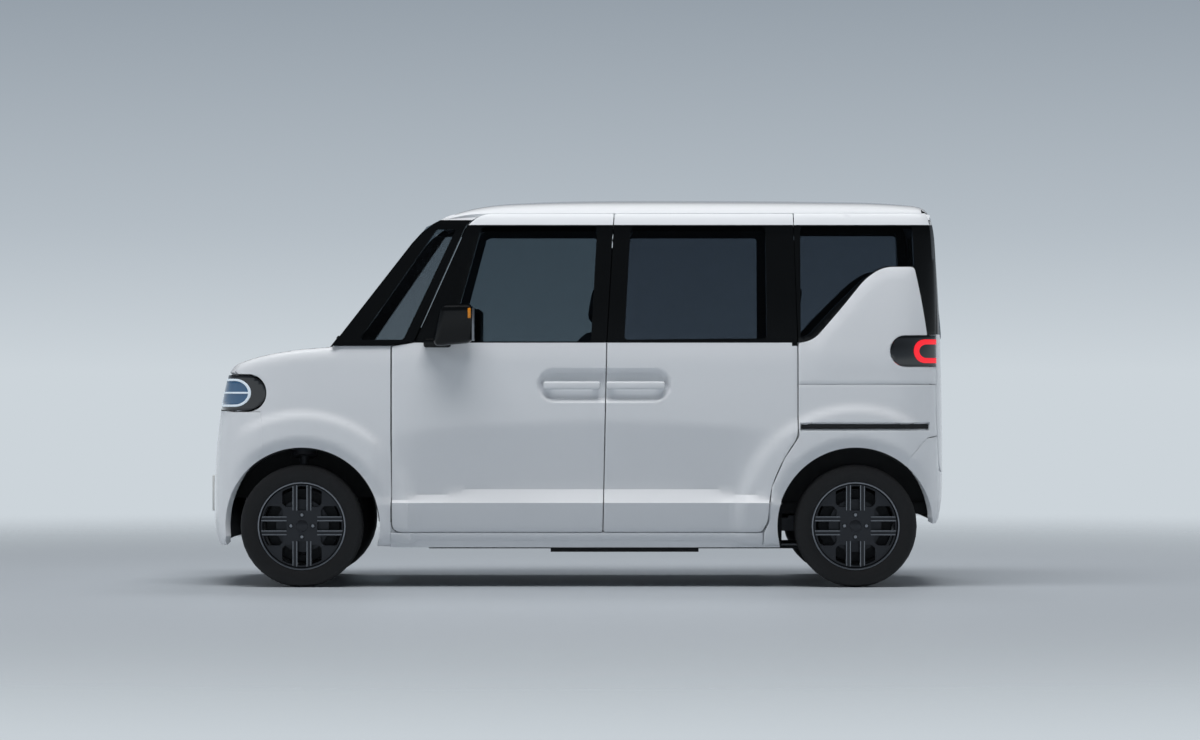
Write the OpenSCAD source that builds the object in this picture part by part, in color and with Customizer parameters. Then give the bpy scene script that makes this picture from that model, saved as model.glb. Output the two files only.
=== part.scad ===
// Tall box-shaped compact car: five doors, the rear side doors slide.
// X runs rearwards, Y to the car's right, Z up; the origin is on the ground in the middle.

/* [Overall] */
// Length over the bumpers
body_l = 3395; // [3385:5:3405]
// Width over the body sides
body_w = 1475; // [1465:5:1485]
// Height of the roof crown
body_h = 1790; // [1780:5:1800]

/* [Running gear] */
// Nose to the front wheel arch
nose_l = 90; // [84:1:96]
// Rear wheel arch to tail
tail_l = 71; // [65:1:77]
// Wheel plane inside the body side
wheel_inset = 85; // [81:1:89]
// Tyre outside diameter
tyre_d = 557; // [549:2:565]
// Tyre width
tyre_w = 155; // [147:2:159]
// Radius of the wheel arch cut
arch_r = 357; // [350:1:364]
// Kingpin lean, top towards the middle
kingpin_lean = 11.2; // [10:0.4:12]

/* [Panels] */
// Thickness of a door or the tailgate
door_t = 72; // [66:1:76]
// Thickness of a plain outer panel
skin_t = 28; // [24:1:34]
// Thickness of the whole side wall, frame included
wall_t = 116; // [110:1:122]
// Glass thickness
glass_t = 6; // [5:0.5:7]
// Gap round a moving panel
seam = 5; // [4.5:0.5:7]
// How far a door laps over the frame behind it
frame_lap = 50; // [46:1:54]
// Depth of the handle recess
recess_t = 34; // [26:1:38]

// Gap at the front edge of a front door, where its hinges stand
hinge_gap = 8; // [7:0.5:9]
// Gap behind the hood and ahead of the tailgate, where their pins lie
pin_gap = 11; // [10:0.5:13]

/* [Fits] */
// Pin radius of the hood and tailgate hinges
lid_pin_r = 4; // [3:0.5:4.5]
// Pin radius of the door hinges
door_pin_r = 1.4; // [1.2:0.1:1.6]
// Radial play of a turning fit
play = 0.05; // [0.03:0.01:0.09]
// Front spindle radius
spindle_r = 30; // [28:1:32]
// Hole diameter of the number plate screws
plate_hole_d = 6.6; // [6:0.2:7]
// Spacing of the number plate screws
plate_pitch = 210; // [200:5:215]
// Tow eye socket diameter
tow_hole_d = 16; // [14:1:18]

/* [Hidden] */
$fn = 48;
nose = -body_l / 2;
tail = body_l / 2;
half_w = body_w / 2;
front_x = nose + nose_l + arch_r;
rear_x = tail - tail_l - arch_r;
wheel_z = tyre_d / 2;
wheel_y = half_w - wheel_inset;
far = 2400;

// Lines where the panels meet
floor_z = 180;
door_front = front_x + arch_r + 51;
c_line = rear_x - 263;
b_line = door_front + 0.5203 * (c_line - door_front);
belt_z = 1114;
glass_top_z = body_h - 147;
gutter_z = body_h - 86;
screen_top_z = body_h - 144;
hump_z = belt_z + 0.6578 * (glass_top_z - belt_z);
sill_y = half_w - 26;
side_in = half_w - 337;
sill_z = 249;
roof_y = half_w - 162;
hood_y = half_w - 98;
hood_rear = nose + 541;
cowl_rear = nose + 625;
cowl_z = 1094;
lamp_lo = 802;
lamp_hi = 966;
lamp_in = half_w - 313;
gate_front = tail - 117;
bumper_rear = front_x - 0.53 * arch_r;
// Hinge axes: doors, hood, tailgate
door_axis_y = half_w - 5;
door_hinge_z = [800, 905];
barrel_r = 2.6;
barrel_h = 16;
hood_axis_x = hood_rear - 9;
hood_axis_z = 1082;
gate_axis_x = gate_front + 9;
gate_axis_z = body_h - 58;
gate_lug_y = roof_y - 225;
lug_w = 36;
lug_r = 7;

// Corner eased by a curve: rows hold [x, y, ease length]
function unit2(v) = v / norm(v);
function xy(row) = [row[0], row[1]];
function eased(a, p, b, e, n) = e == 0 ? [p] :
    let (s = p + unit2(a - p) * e, f = p + unit2(b - p) * e)
    [for (i = [0:n]) let (t = i / n)
        (1 - t) * (1 - t) * s + 2 * t * (1 - t) * p + t * t * f];
function outline(rows, n = 3) = let (m = len(rows))
    [for (i = [0:m - 1]) each eased(xy(rows[(i + m - 1) % m]), xy(rows[i]),
        xy(rows[(i + 1) % m]), rows[i][2], n)];
// Same outline moved in by d (counter-clockwise points)
function left_of(a, b) = let (u = unit2(b - a)) [-u[1], u[0]];
function inset(p, d) = let (m = len(p))
    [for (i = [0:m - 1]) let (n0 = left_of(p[(i + m - 1) % m], p[i]),
        n1 = left_of(p[i], p[(i + 1) % m]))
        p[i] + d * (n0 + n1) / (1 + n0 * n1)];
function flipped(rows) = [for (i = [len(rows) - 1:-1:0]) [-rows[i][0], rows[i][1], rows[i][2]]];
function swapped(rows) = [for (i = [len(rows) - 1:-1:0]) [rows[i][0], -rows[i][1], rows[i][2]]];

// Screen header to the roof crown
crown_run = 0.5 * body_l - 1250;
// Side view of the whole body: x, z, ease
profile_rows = [
    [nose + 48, floor_z, 15], [tail - 430, floor_z, 0], [tail - 300, 245, 30], [tail - 42, 281, 22],
    [tail, 420, 50], [tail, 720, 90], [tail - 16, 1080, 90], [tail - 62, body_h - 160, 60],
    [tail - 100, body_h - 46, 34], [tail - 330, body_h - 16, 110], [tail - 0.293 * body_l, body_h, 0.0884 * body_l],
    [nose + 1250 + crown_run, body_h, 0.58 * crown_run], [nose + 1250, body_h - 38, 0.335 * crown_run], [nose + 1008, screen_top_z, 100],
    [nose + 582, cowl_z, 0], [nose + 440, 1084, 60], [nose + 270, 1056, 60],
    [nose + 112, 1006, 50], [nose + 62, 830, 90], [nose + 8, 560, 60],
    [nose, 440, 40], [nose, 300, 60]];
// Half cross-section: y, z, ease
half_section = [
    [half_w - 67, 100, 0], [half_w - 26, 250, 12], [half_w - 4, 380, 14], [half_w - 9, 600, 60],
    [half_w, 880, 60], [half_w - 15, belt_z - 18, 10], [half_w - 23, belt_z, 0], [half_w - 98, body_h - 145, 30],
    [half_w - 130, body_h - 82, 28], [half_w - 215, body_h - 38, 45], [half_w - 420, body_h - 10, 70],
    [half_w * 0.2, body_h, 60]];
section_rows = concat(half_section, flipped(half_section));
// Half plan view: x, y, ease
half_plan = [
    [tail, half_w * 0.35, 90], [tail - 14, half_w - 190, 60], [tail - 70, half_w - 74, 55],
    [tail - 200, half_w - 12, 60], [tail - 560, half_w, 160], [nose + 800, half_w, 160],
    [nose + 350, half_w - 8, 90], [nose + 140, half_w - 66, 80], [nose + 44, half_w - 210, 80],
    [nose, half_w * 0.35, 90]];
plan_rows = concat(half_plan, swapped(half_plan));
// Outer outlines are eased; those moved in keep plain corners
function moved_in(rows, d) = d == 0 ? outline(rows) : inset([for (r = rows) xy(r)], d);

// Panel outlines in side view: x, z, ease
front_door_rows = [
    [door_front, sill_z, 46], [b_line, sill_z, 12], [b_line + 18, belt_z, 0],
    [b_line + 52, gutter_z, 10], [front_x + 815, gutter_z, 50], [front_x + 748, screen_top_z, 20],
    [front_x + 512, belt_z, 12], [door_front, belt_z - 16, 10]];
slide_door_rows = [
    [b_line, sill_z, 12], [rear_x - 425, sill_z, 20], [rear_x - 398, 300, 20],
    [rear_x - 386, 450, 60], [rear_x - 330, 580, 60], [c_line, 680, 30],
    [c_line, belt_z + 10, 12], [c_line - 17, gutter_z, 10], [b_line + 52, gutter_z, 10],
    [b_line + 18, belt_z, 0]];
front_door_line = outline(front_door_rows);
slide_door_line = outline(slide_door_rows);
front_window_line = outline([
    [front_x + 672, belt_z + 4, 24], [b_line - 54, belt_z + 4, 20],
    [b_line - 26, glass_top_z, 20], [front_x + 816, glass_top_z, 24],
    [front_x + 730, 0.6 * belt_z + 0.4 * glass_top_z, 60]]);
slide_window_line = outline([
    [b_line + 98, belt_z + 12, 20], [c_line - 141, belt_z + 18, 20],
    [c_line - 145, glass_top_z, 20], [b_line + 127, glass_top_z, 20]]);
vent_window_line = outline([
    [front_x + 262, belt_z + 12, 14], [front_x + 462, belt_z + 12, 12],
    [front_x + 700, glass_top_z - 13, 10], [front_x + 612, glass_top_z - 13, 10]]);
quarter_window_line = outline([
    [rear_x - 250, belt_z + 24, 8], [rear_x - 212, belt_z + 34, 20],
    [rear_x - 130, 0.64 * belt_z + 0.36 * hump_z, 50], [rear_x + 42, hump_z - 52, 50],
    [rear_x + 125, hump_z, 40], [rear_x + 272, hump_z, 12],
    [rear_x + 262, glass_top_z, 16], [rear_x - 250, glass_top_z, 16]]);
// Wall behind the doors, the arch side of the front pillar included
hinge_x = door_front - hinge_gap / 2;
side_line = [[hinge_x, 100], [tail + 50, 100], [tail + 50, far], [nose + 500, far],
    [nose + 500, cowl_z + 4], [hinge_x, cowl_z + 4]];
fender_line = [[bumper_rear, 100], [hinge_x, 100], [hinge_x, cowl_z + 4],
    [nose - 50, cowl_z + 4], [nose - 50, lamp_lo - 4], [bumper_rear, lamp_lo - 4]];
front_bumper_line = [[nose - 50, 100], [bumper_rear, 100], [bumper_rear, lamp_lo - 4],
    [nose - 50, lamp_lo - 4]];
rear_bumper_line = [[rear_x, wheel_z], [rear_x, 100], [tail + 50, 100], [tail + 50, 686],
    [tail - 84, 686], [tail - 156, 604]];
head_pill = outline([[nose - 50, lamp_lo, 0], [nose + 284, lamp_lo, 80],
    [nose + 284, lamp_hi, 80], [nose - 50, lamp_hi, 0]], 6);
tail_pill = outline([[tail - 266, 1004, 68], [tail + 50, 1004, 0],
    [tail + 50, 1143, 0], [tail - 266, 1143, 68]], 6);
handle_pill = outline([[b_line - 300, 838, 78], [b_line + 312, 838, 78],
    [b_line + 312, 998, 78], [b_line - 300, 998, 78]], 5);
// Front and rear views: y, z, ease
screen_line = outline([[-hood_y + 4, cowl_z - 2, 0], [hood_y - 4, cowl_z - 2, 0],
    [half_w - 156, body_h - 118, 40], [156 - half_w, body_h - 118, 40]]);
gate_line = outline([[-half_w + 138, 520, 60], [half_w - 138, 520, 60],
    [half_w - 108, 780, 60], [half_w - 108, 1110, 60], [roof_y - seam, body_h + 110, 0],
    [seam - roof_y, body_h + 110, 0], [108 - half_w, 1110, 60], [108 - half_w, 780, 60]]);
gate_window_y = half_w - 192;
gate_window_line = outline([[-gate_window_y, belt_z + 16, 60], [gate_window_y, belt_z + 16, 60],
    [gate_window_y - 75, body_h - 160, 60], [75 - gate_window_y, body_h - 160, 60]]);

module along_y(p, y0, y1) translate([0, y1, 0]) rotate([90, 0, 0])
    linear_extrude(y1 - y0) polygon(p);
module along_x(p, x0, x1) translate([x0, 0, 0]) rotate([90, 0, 90])
    linear_extrude(x1 - x0) polygon(p);
module block(x0, x1, y0, y1, z0, z1) translate([x0, y0, z0])
    cube([x1 - x0, y1 - y0, z1 - z0]);
module pair() { children(); mirror([0, 1, 0]) children(); }
// Outer form of the body moved in by d
module env(d) intersection() {
    along_y(moved_in(profile_rows, d), -far, far);
    along_x(moved_in(section_rows, d), -far, far);
    linear_extrude(far) polygon(moved_in(plan_rows, d));
}
// What lies outside the body form moved in by d, inside an outline seen from the left side
module left_cut(p, d) difference() { along_y(p, -far, -side_in); env(d); }
// Left side layer between two depths, inside an outline
module left_layer(p, d0, d1) difference() {
    intersection() { env(d0); along_y(p, -far, -roof_y - seam); }
    env(d1);
    block(nose, tail, d1 - sill_y, 0, 0, floor_z + d1 + 1);
}
module arches(r) for (x = [front_x, rear_x])
    translate([x, 0, wheel_z]) rotate([90, 0, 0]) cylinder(h = far, r = r, center = true);
module screen_zone() along_x(screen_line, nose + 400, nose + 1300);
module gate_zone(grow) intersection() {
    along_x(inset(gate_line, -grow), gate_front - grow, tail + 60);
    block(gate_front - grow, tail + 60, -far, far, 0, far);
}

// Outer panels
module body_sides() color("white") pair() difference() {
    intersection() {
        env(0);
        along_y(side_line, -far, -roof_y);
    }
    env(wall_t);
    left_cut(inset(front_door_line, -hinge_gap / 2), door_t + seam);
    left_cut(inset(slide_door_line, -seam / 2), door_t);
    for (rows = [front_door_rows, slide_door_rows])
        along_y(inset([for (r = rows) xy(r)], frame_lap), -far, -side_in);
    along_y(vent_window_line, -far, -side_in);
    along_y(quarter_window_line, -far, -side_in);
    arches(arch_r);
    screen_zone();
    gate_zone(seam);
    along_y(inset(rear_bumper_line, -1), -far, -side_in);
    left_cut(tail_pill, 60);
    left_cut(rail_slot, 26);
}
rail_slot = [[c_line + 8, 719], [tail - 88, 719], [tail - 88, 743], [c_line + 8, 743]];

module front_fenders() color("white") { fender_skins(); door_barrels(); }
module fender_skins() pair() difference() {
    intersection() {
        env(0);
        along_y(fender_line, -far, -hood_y - seam);
    }
    env(skin_t);
    along_y(head_pill, -far, -side_in);
    arches(arch_r);
    hood_pin(lid_pin_r + play);
}
// Barrels of the front door hinges, on the fender's rear edge
module door_barrels() pair() difference() {
    for (z = door_hinge_z) {
        translate([door_front, -door_axis_y, z]) cylinder(h = barrel_h, r = barrel_r);
        block(hinge_x, door_front, -door_axis_y - 2, -door_axis_y + 2, z, z + barrel_h);
    }
    translate([door_front, -door_axis_y, 0]) cylinder(h = far, r = door_pin_r + play);
}
module hood_pin(r) translate([hood_axis_x, -hood_y + 12, hood_axis_z]) rotate([90, 0, 0])
    cylinder(h = 40, r = r);
module roof() color("white") {
    difference() {
        intersection() {
            env(0);
            block(nose + 900, gate_front - pin_gap, -roof_y, roof_y, body_h - 190, far);
        }
        env(skin_t);
        screen_zone();
    }
    pair() difference() {
        union() {
            block(gate_front - pin_gap, gate_axis_x, gate_lug_y, gate_lug_y + lug_w,
                gate_axis_z - lug_r, gate_axis_z + lug_r);
            gate_pin(lug_r, 0);
        }
        gate_pin(lid_pin_r + play, 10);
    }
}
module gate_pin(r, longer) translate([gate_axis_x, gate_lug_y + lug_w + longer, gate_axis_z])
    rotate([90, 0, 0]) cylinder(h = lug_w + 2 * longer, r = r);
module hood() color("white") {
    difference() {
        intersection() {
            env(0);
            block(nose - 10, hood_rear, -hood_y, hood_y, lamp_hi + seam + 1, cowl_z + 100);
        }
        env(skin_t);
    }
    pair() hood_pin(lid_pin_r);
}
module cowl() color("dimgray") difference() {
    intersection() {
        env(0);
        block(hood_rear + pin_gap, cowl_rear, -hood_y + 1, hood_y - 1, 1000, cowl_z - 2);
    }
    env(skin_t);
}
module front_bumper() color("white") difference() {
    intersection() {
        env(0);
        along_y(front_bumper_line, -far, far);
    }
    env(skin_t);
    arches(arch_r);
    block(nose - 20, nose + 14, -175, 175, 330, 500);
    for (y = [-1, 1]) translate([nose - 20, y * plate_pitch / 2, 415]) rotate([0, 90, 0])
        cylinder(h = 90, d = plate_hole_d);
    block(nose - 20, nose + 120, -intake_y, intake_y, intake_lo, intake_hi);
}
module rear_bumper() color("white") difference() {
    intersection() {
        env(0);
        along_y(rear_bumper_line, -far, far);
        block(rear_x + 100, tail + 60, -far, far, 0, far);
    }
    env(skin_t);
    arches(arch_r);
    gate_zone(seam);
}
// Low intake of the front bumper and its slats
intake_y = half_w - 487;
intake_lo = 548;
intake_hi = 764;
slat_h = 36;
slat_z = [616, 690];
module grille() color("black") {
    difference() {
        intersection() {
            env(2);
            block(nose - 10, nose + 200, 2 - lamp_in, lamp_in - 2, lamp_lo - 4, lamp_hi);
        }
        env(skin_t);
        for (z = [830, 872, 914])
            block(nose - 10, nose + 400, 94 - lamp_in, lamp_in - 94, z, z + 22);
    }
    for (z = slat_z) difference() {
        intersection() { env(4); block(nose - 10, nose + 120, -intake_y, intake_y, z, z + slat_h); }
        env(skin_t - 4);
    }
}
module headlamps() color("black") pair() difference() {
    intersection() {
        env(0);
        along_y(head_pill, -far, -lamp_in);
    }
    env(60);
}
module tail_lamps() color("darkred") pair() difference() {
    left_layer(tail_pill, 0, 58);
    block(tail - 400, tail + 50, 104 - half_w, far, 900, 1300);
}
module slide_rails() color("black") pair() left_layer(inset(rail_slot, 2), 12, 26);

// Glass
module windscreen() color("slategray", 0.6) difference() {
    intersection() { env(4); screen_zone(); block(nose, 0, -far, far, cowl_z - 2, far); }
    env(4 + glass_t);
}
module side_glass() color("slategray", 0.6) pair() {
    left_layer(vent_window_line, 6, 6 + glass_t);
    left_layer(slide_window_line, 6, 6 + glass_t);
    left_layer(quarter_window_line, 6, 6 + glass_t);
}

// Doors
module front_door() color("white") {
    difference() {
        left_layer(inset(front_door_line, seam / 2), 0, door_t);
        along_y(front_window_line, -far, -side_in);
        left_cut(handle_pill, recess_t);
        block(door_front - 20, door_front + hinge_gap / 2, -far, -side_in, 0, far);
    }
    for (z = door_hinge_z) {
        translate([door_front, -door_axis_y, z - 12]) cylinder(h = barrel_h + 24, r = door_pin_r);
        for (t = [-12, barrel_h + 2]) block(door_front, door_front + hinge_gap / 2 + 1,
            -door_axis_y - door_pin_r, -door_axis_y + door_pin_r, z + t, z + t + 10);
    }
    intersection() {
        left_layer(handle_bar, 2, 16);
        along_y(inset(front_door_line, seam / 2), -far, -side_in);
    }
}
module slide_door() color("white") {
    difference() {
        left_layer(inset(slide_door_line, seam / 2), 0, door_t);
        along_y(slide_window_line, -far, -side_in);
        left_cut(handle_pill, recess_t);
    }
    intersection() {
        left_layer(handle_bar, 2, 16);
        along_y(inset(slide_door_line, seam / 2), -far, -side_in);
    }
}
handle_bar = [[b_line - 310, 890], [b_line + 322, 890], [b_line + 322, 940],
    [b_line - 310, 940]];
module door_glass() color("slategray", 0.6) left_layer(front_window_line, 6, 6 + glass_t);
mirror_side = outline([[front_x + 596, 1092, 26], [front_x + 770, 1104, 26],
    [front_x + 788, 1288, 40], [front_x + 640, 1288, 50]]);
module door_mirror() color("black") difference() {
    union() {
        along_y(mirror_side, -half_w - 152, -half_w - 2);
        block(front_x + 560, front_x + 660, -half_w - 30, -half_w + 60, 1092, 1122);
    }
    env(0);
}
module tailgate() color("white") {
    gate_panel();
    pair() gate_pin(lid_pin_r, 8);
}
module gate_panel() difference() {
    intersection() { env(0); gate_zone(0); }
    env(door_t - 12);
    along_x(gate_window_line, 0, far);
    pair() block(gate_front - 20, gate_axis_x + lug_r + seam + 1, gate_lug_y - seam,
        gate_lug_y + lug_w + seam, body_h - 290, far);
    block(tail - 24, tail + 60, -175, 175, 690, 860);
    for (y = [-1, 1]) translate([tail - 120, y * plate_pitch / 2, 790]) rotate([0, 90, 0])
        cylinder(h = 200, d = plate_hole_d);
}
module gate_glass() color("slategray", 0.6) difference() {
    intersection() { env(6); along_x(gate_window_line, 0, far); gate_zone(0); }
    env(6 + glass_t);
}

// Structure under and inside the panels
floor_lo = 186;
floor_hi = 250;
load_lo = 330;
load_hi = 380;
step_x = rear_x - 330;
well_y = wheel_y - 118;
apron_out = wheel_y - 258.5;
apron_in = apron_out - 32;
module floor_pan() color("gray") difference() {
    union() {
        block(door_front, step_x, -roof_y, roof_y, floor_lo, floor_hi);
        block(step_x - 40, step_x, -roof_y, roof_y, floor_lo, load_hi);
        block(step_x - 1, tail - 80, -roof_y, roof_y, load_lo, load_hi);
        block(door_front - 40, door_front, -roof_y, roof_y, floor_lo, cowl_z - 60);
    }
    for (s = [-1, 1]) translate([rear_x, s * (well_y + 300), wheel_z]) rotate([90, 0, 0])
        cylinder(h = 600, r = arch_r, center = true);
}
// Front rails with the strut towers and the cross-member that holds the tow eye
rail_lo = 400;
rail_hi = 700;
module front_frame() color("gray") {
    for (s = [-1, 1]) scale([1, s, 1]) {
        block(nose + 120, door_front - 40, apron_in, apron_out, rail_lo, rail_hi);
        block(front_x - 90, front_x + 90, apron_in, apron_out, rail_hi - 10, tower_z);
        difference() {
            block(front_x - 90, front_x + 90, apron_in, tower_out, tower_z - 14, tower_z);
            kingpin_line(-1) cylinder(h = far, r = rod_r + play, center = true);
        }
    }
    difference() {
        block(nose + 80, nose + 121, -apron_out, apron_out, tow_z - 40, tow_z + 40);
        translate([nose, tow_y, tow_z]) rotate([0, 90, 0]) cylinder(h = 200, d = tow_hole_d);
    }
}
tow_y = 200;
tow_z = 582;
tower_z = 880;
tower_out = wheel_y - 112.5;
module arch_liners() color("dimgray") pair() {
    difference() {
        translate([front_x, -apron_out, wheel_z]) rotate([90, 0, 0])
            cylinder(h = half_w - 40 - apron_out, r = arch_r - 1);
        translate([front_x, 0, wheel_z]) rotate([90, 0, 0])
            cylinder(h = far, r = arch_r - 7);
        block(front_x - 500, front_x + 500, -far, 0, -far, wheel_z + 20);
        kingpin_line(1) cylinder(h = 2000, r = 84, center = true);
    }
    difference() {
        translate([rear_x, -well_y, wheel_z]) rotate([90, 0, 0])
            cylinder(h = half_w - 40 - well_y, r = arch_r - 1);
        translate([rear_x, 0, wheel_z]) rotate([90, 0, 0])
            cylinder(h = far, r = arch_r - 7);
        block(rear_x - 500, rear_x + 500, -far, 0, -far, wheel_z + 20);
    }
}
module engine() color("gray") {
    block(nose + 210, front_x + 200, 32 - apron_in, apron_in - 32, 330, 830);
    block(front_x - 60, front_x + 60, -apron_in, apron_in, 560, 640);
}
module exhaust() color("silver") {
    translate([door_front + 142, 120, 165]) rotate([0, 90, 0])
        cylinder(h = rear_x + 100 - door_front - 142, r = 20);
    translate([rear_x + 60, 60, 236]) rotate([0, 90, 0]) cylinder(h = 180, r = 80);
    for (x = [door_front + 242, b_line + 180]) block(x, x + 30, 110, 130, 170, floor_lo);
    block(rear_x + 100, rear_x + 180, 40, 80, 300, load_lo);
}
module fuel_tank() color("dimgray") block(b_line - 240, b_line + 440, -480, 20, 152, floor_lo);

// Cabin
module dashboard() color("dimgray") {
    block(door_front, door_front + 230, 15 - roof_y, roof_y - 15, 700, 1000);
    translate([door_front + 229, seat_y, 880]) rotate([0, 62, 0]) cylinder(h = 120, r = 28);
}
module steering_wheel() color("black") translate([door_front + 229, seat_y, 880])
    rotate([0, 62, 0]) translate([0, 0, 121]) {
        rotate_extrude() translate([175, 0]) circle(r = 15, $fn = 20);
        cylinder(h = 30, r = 60);
        for (a = [90, 270, 180]) rotate(a) translate([50, -14, 4]) cube([115, 28, 18]);
    }
front_seat_x = door_front + 372;
rear_seat_x = step_x - 510;
seat_w = roof_y - 75.5;
seat_y = seat_w / 2 + 40;
soft_gap = 0.3;
module seat(w) {
    block(-90, 420, -w / 2, w / 2, floor_hi + 200, floor_hi + 330);
    along_y([[330, floor_hi + 320], [450, floor_hi + 320], [600, floor_hi + 920],
        [500, floor_hi + 920]], -w / 2, w / 2);
    along_y([[515, floor_hi + 960], [590, floor_hi + 960], [615, floor_hi + 1130],
        [545, floor_hi + 1130]], -130, 130);
    block(540, 566, -20, 20, floor_hi + 900, floor_hi + 970);
}
module seat_frame(w) block(-40, 360, -w / 2 + 60, w / 2 - 60,
    floor_hi, floor_hi + 200 - soft_gap);
module front_seats() color("darkslategray")
    for (s = [-1, 1]) translate([front_seat_x, s * seat_y, 0]) seat(seat_w);
module rear_seat() color("darkslategray")
    for (s = [-1, 1]) translate([rear_seat_x, s * seat_y, 0]) seat(seat_w);
module seat_frames() color("gray")
    for (x = [front_seat_x, rear_seat_x], s = [-1, 1])
        translate([x, s * seat_y, 0]) seat_frame(seat_w);

// Running gear
rod_r = 11;
pin_r = 9;
pin_y = wheel_y - 52.5;
pin_z = 170;
arm_z = 138;
arm_h = 9;
// Kingpin axis with its own z along it, zero at the lower ball joint
module kingpin_line(s) translate([front_x, -pin_y * s, pin_z])
    rotate([-kingpin_lean * s, 0, 0]) children();
module knuckle() color("gray") {
    difference() {
        union() {
            kingpin_line(1) translate([0, 0, -14]) cylinder(h = 40, r = 20);
            kingpin_line(1) translate([0, 0, 20]) cylinder(h = 430, r = 20);
            kingpin_line(1) translate([0, 0, 430]) cylinder(h = 260, r = 58);
            kingpin_line(1) cylinder(h = 740, r = rod_r);
            translate([front_x, -wheel_y + 105, wheel_z]) rotate([90, 0, 0])
                cylinder(h = 30, r = 55);
        }
        kingpin_line(1) translate([0, 0, -60]) cylinder(h = 70, r = pin_r + play);
    }
    translate([front_x, -wheel_y + 80, wheel_z]) rotate([90, 0, 0])
        cylinder(h = 90, r = spindle_r);
}
module front_suspension() color("gray") pair() {
    kingpin_line(1) translate([0, 0, -30]) cylinder(h = 35, r = pin_r);
    kingpin_line(1) translate([0, 0, -30]) cylinder(h = 14, r = 20);
    block(front_x - 20, front_x + 20, -pin_y, -apron_in, arm_z, arm_z + arm_h);
    block(front_x - 60, front_x + 200, -apron_out, -apron_in, arm_z, rail_lo);
}
axle_y = wheel_y - 132.5;
module rear_axle() color("gray") {
    block(rear_x - 300, rear_x - 230, -axle_y, axle_y, 270, 320);
    for (s = [-1, 1]) scale([1, s, 1]) {
        block(rear_x - 330, rear_x + 40, axle_y - 50, axle_y, 250, 310);
        translate([rear_x, axle_y - 20, wheel_z]) rotate([-90, 0, 0])
            cylinder(h = wheel_y + 10 - axle_y + 20, r = spindle_r);
    }
}
rim_r = 210;
tyre_rows = [[rim_r - 8, 62, 4], [rim_r + 8, 66, 6], [tyre_d / 2 - 36, tyre_w / 2, 12],
    [tyre_d / 2 - 12, tyre_w / 2 - 8, 8], [tyre_d / 2, tyre_w / 2 - 26, 6]];
tyre_section = outline(concat([for (i = [4:-1:0]) tyre_rows[i]],
    [for (r = tyre_rows) [r[0], -r[1], r[2]]]));
// A wheel stands on its own axis, outer face towards +z
module at_wheel(x, s) translate([x, -s * wheel_y, wheel_z]) rotate([90 * s, 0, 0]) children();
module tyre() color("black") rotate_extrude($fn = 64) polygon(tyre_section);
rim_section = [[rim_r - 30, -62], [rim_r - 9, -62], [rim_r - 9, 62], [rim_r - 17, 62],
    [rim_r - 17, 40], [rim_r - 24, 30], [rim_r - 24, -50], [rim_r - 30, -50]];
// Wheel face: a pair of bars each way, a slot between them and a window on either side
rim_face_r = rim_r - 22;
slot_half = 20;
window_rows = [[86, 44, 4], [rim_face_r + 10, 44, 4], [rim_face_r + 10, 90, 4], [102, 90, 4],
    [86, 74, 4]];
module rim() color("darkslategray") difference() {
    union() {
        rotate_extrude($fn = 64) polygon(rim_section);
        translate([0, 0, 18]) cylinder(h = 22, r = rim_face_r);
        translate([0, 0, -8]) cylinder(h = 30, r = 56);
        translate([0, 0, -8]) cylinder(h = 9, r = 120);
    }
    translate([0, 0, -70]) cylinder(h = 86, r = spindle_r + play);
    for (a = [0:90:270]) rotate(a) {
        intersection() {
            translate([0, 0, 17]) cylinder(h = 40, r = rim_face_r - 7);
            union() {
                translate([70, -slot_half, 17]) cube([rim_r, 2 * slot_half, 40]);
                for (s = [0, 1]) mirror([0, s, 0]) translate([0, 0, 17])
                    linear_extrude(40) polygon(outline(window_rows, 2));
            }
        }
        translate([50, 0, 32]) cylinder(h = 20, r = 11);
    }
}
screen_slope = atan2(screen_top_z - cowl_z, 1008 - 582);
module wipers() color("black") for (y = [15 - roof_y, 60]) difference() {
    translate([nose + 582, y, cowl_z]) rotate([0, -screen_slope, 0]) {
        block(40, 54, 0, 500, 0, 14);
        block(-24, 46, 20, 44, 4, 12);
        block(-40, -16, 18, 46, -20, 14);
    }
    env(0);
}

floor_pan();
front_frame();
body_sides();
roof();
front_fenders();
front_bumper();
rear_bumper();
grille();
cowl();
windscreen();
side_glass();
slide_door();  // slide_door_left
mirror([0, 1, 0]) slide_door();  // slide_door_right
headlamps();
tail_lamps();
slide_rails();
arch_liners();
engine();
dashboard();
front_seats();
rear_seat();
seat_frames();
front_suspension();
rear_axle();
exhaust();
fuel_tank();
wipers();
hood();
front_door();  // front_door_left
mirror([0, 1, 0]) front_door();  // front_door_right
door_glass();  // door_glass_left
mirror([0, 1, 0]) door_glass();  // door_glass_right
door_mirror();  // mirror_left
mirror([0, 1, 0]) door_mirror();  // mirror_right
tailgate();
gate_glass();
steering_wheel();
knuckle();  // knuckle_left
mirror([0, 1, 0]) knuckle();  // knuckle_right
at_wheel(front_x, 1) tyre();  // tyre_front_left
at_wheel(front_x, -1) tyre();  // tyre_front_right
at_wheel(rear_x, 1) tyre();  // tyre_rear_left
at_wheel(rear_x, -1) tyre();  // tyre_rear_right
at_wheel(front_x, 1) rim();  // rim_front_left
at_wheel(front_x, -1) rim();  // rim_front_right
at_wheel(rear_x, 1) rim();  // rim_rear_left
at_wheel(rear_x, -1) rim();  // rim_rear_right
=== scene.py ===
# %% [markdown]
# # A tall box-shaped compact car
# The CAD frame holds every solid and joint. This script adds what the eye sees: smooth painted
# panels, glass, lamps, wheels and cloth. Units are metres, in the frame of the solids: x runs to
# the rear, y to the car's right and z up.

# %% Load the frame
import math

import bmesh
import bpy
import numpy as np
from mathutils import Matrix, Vector


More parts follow.
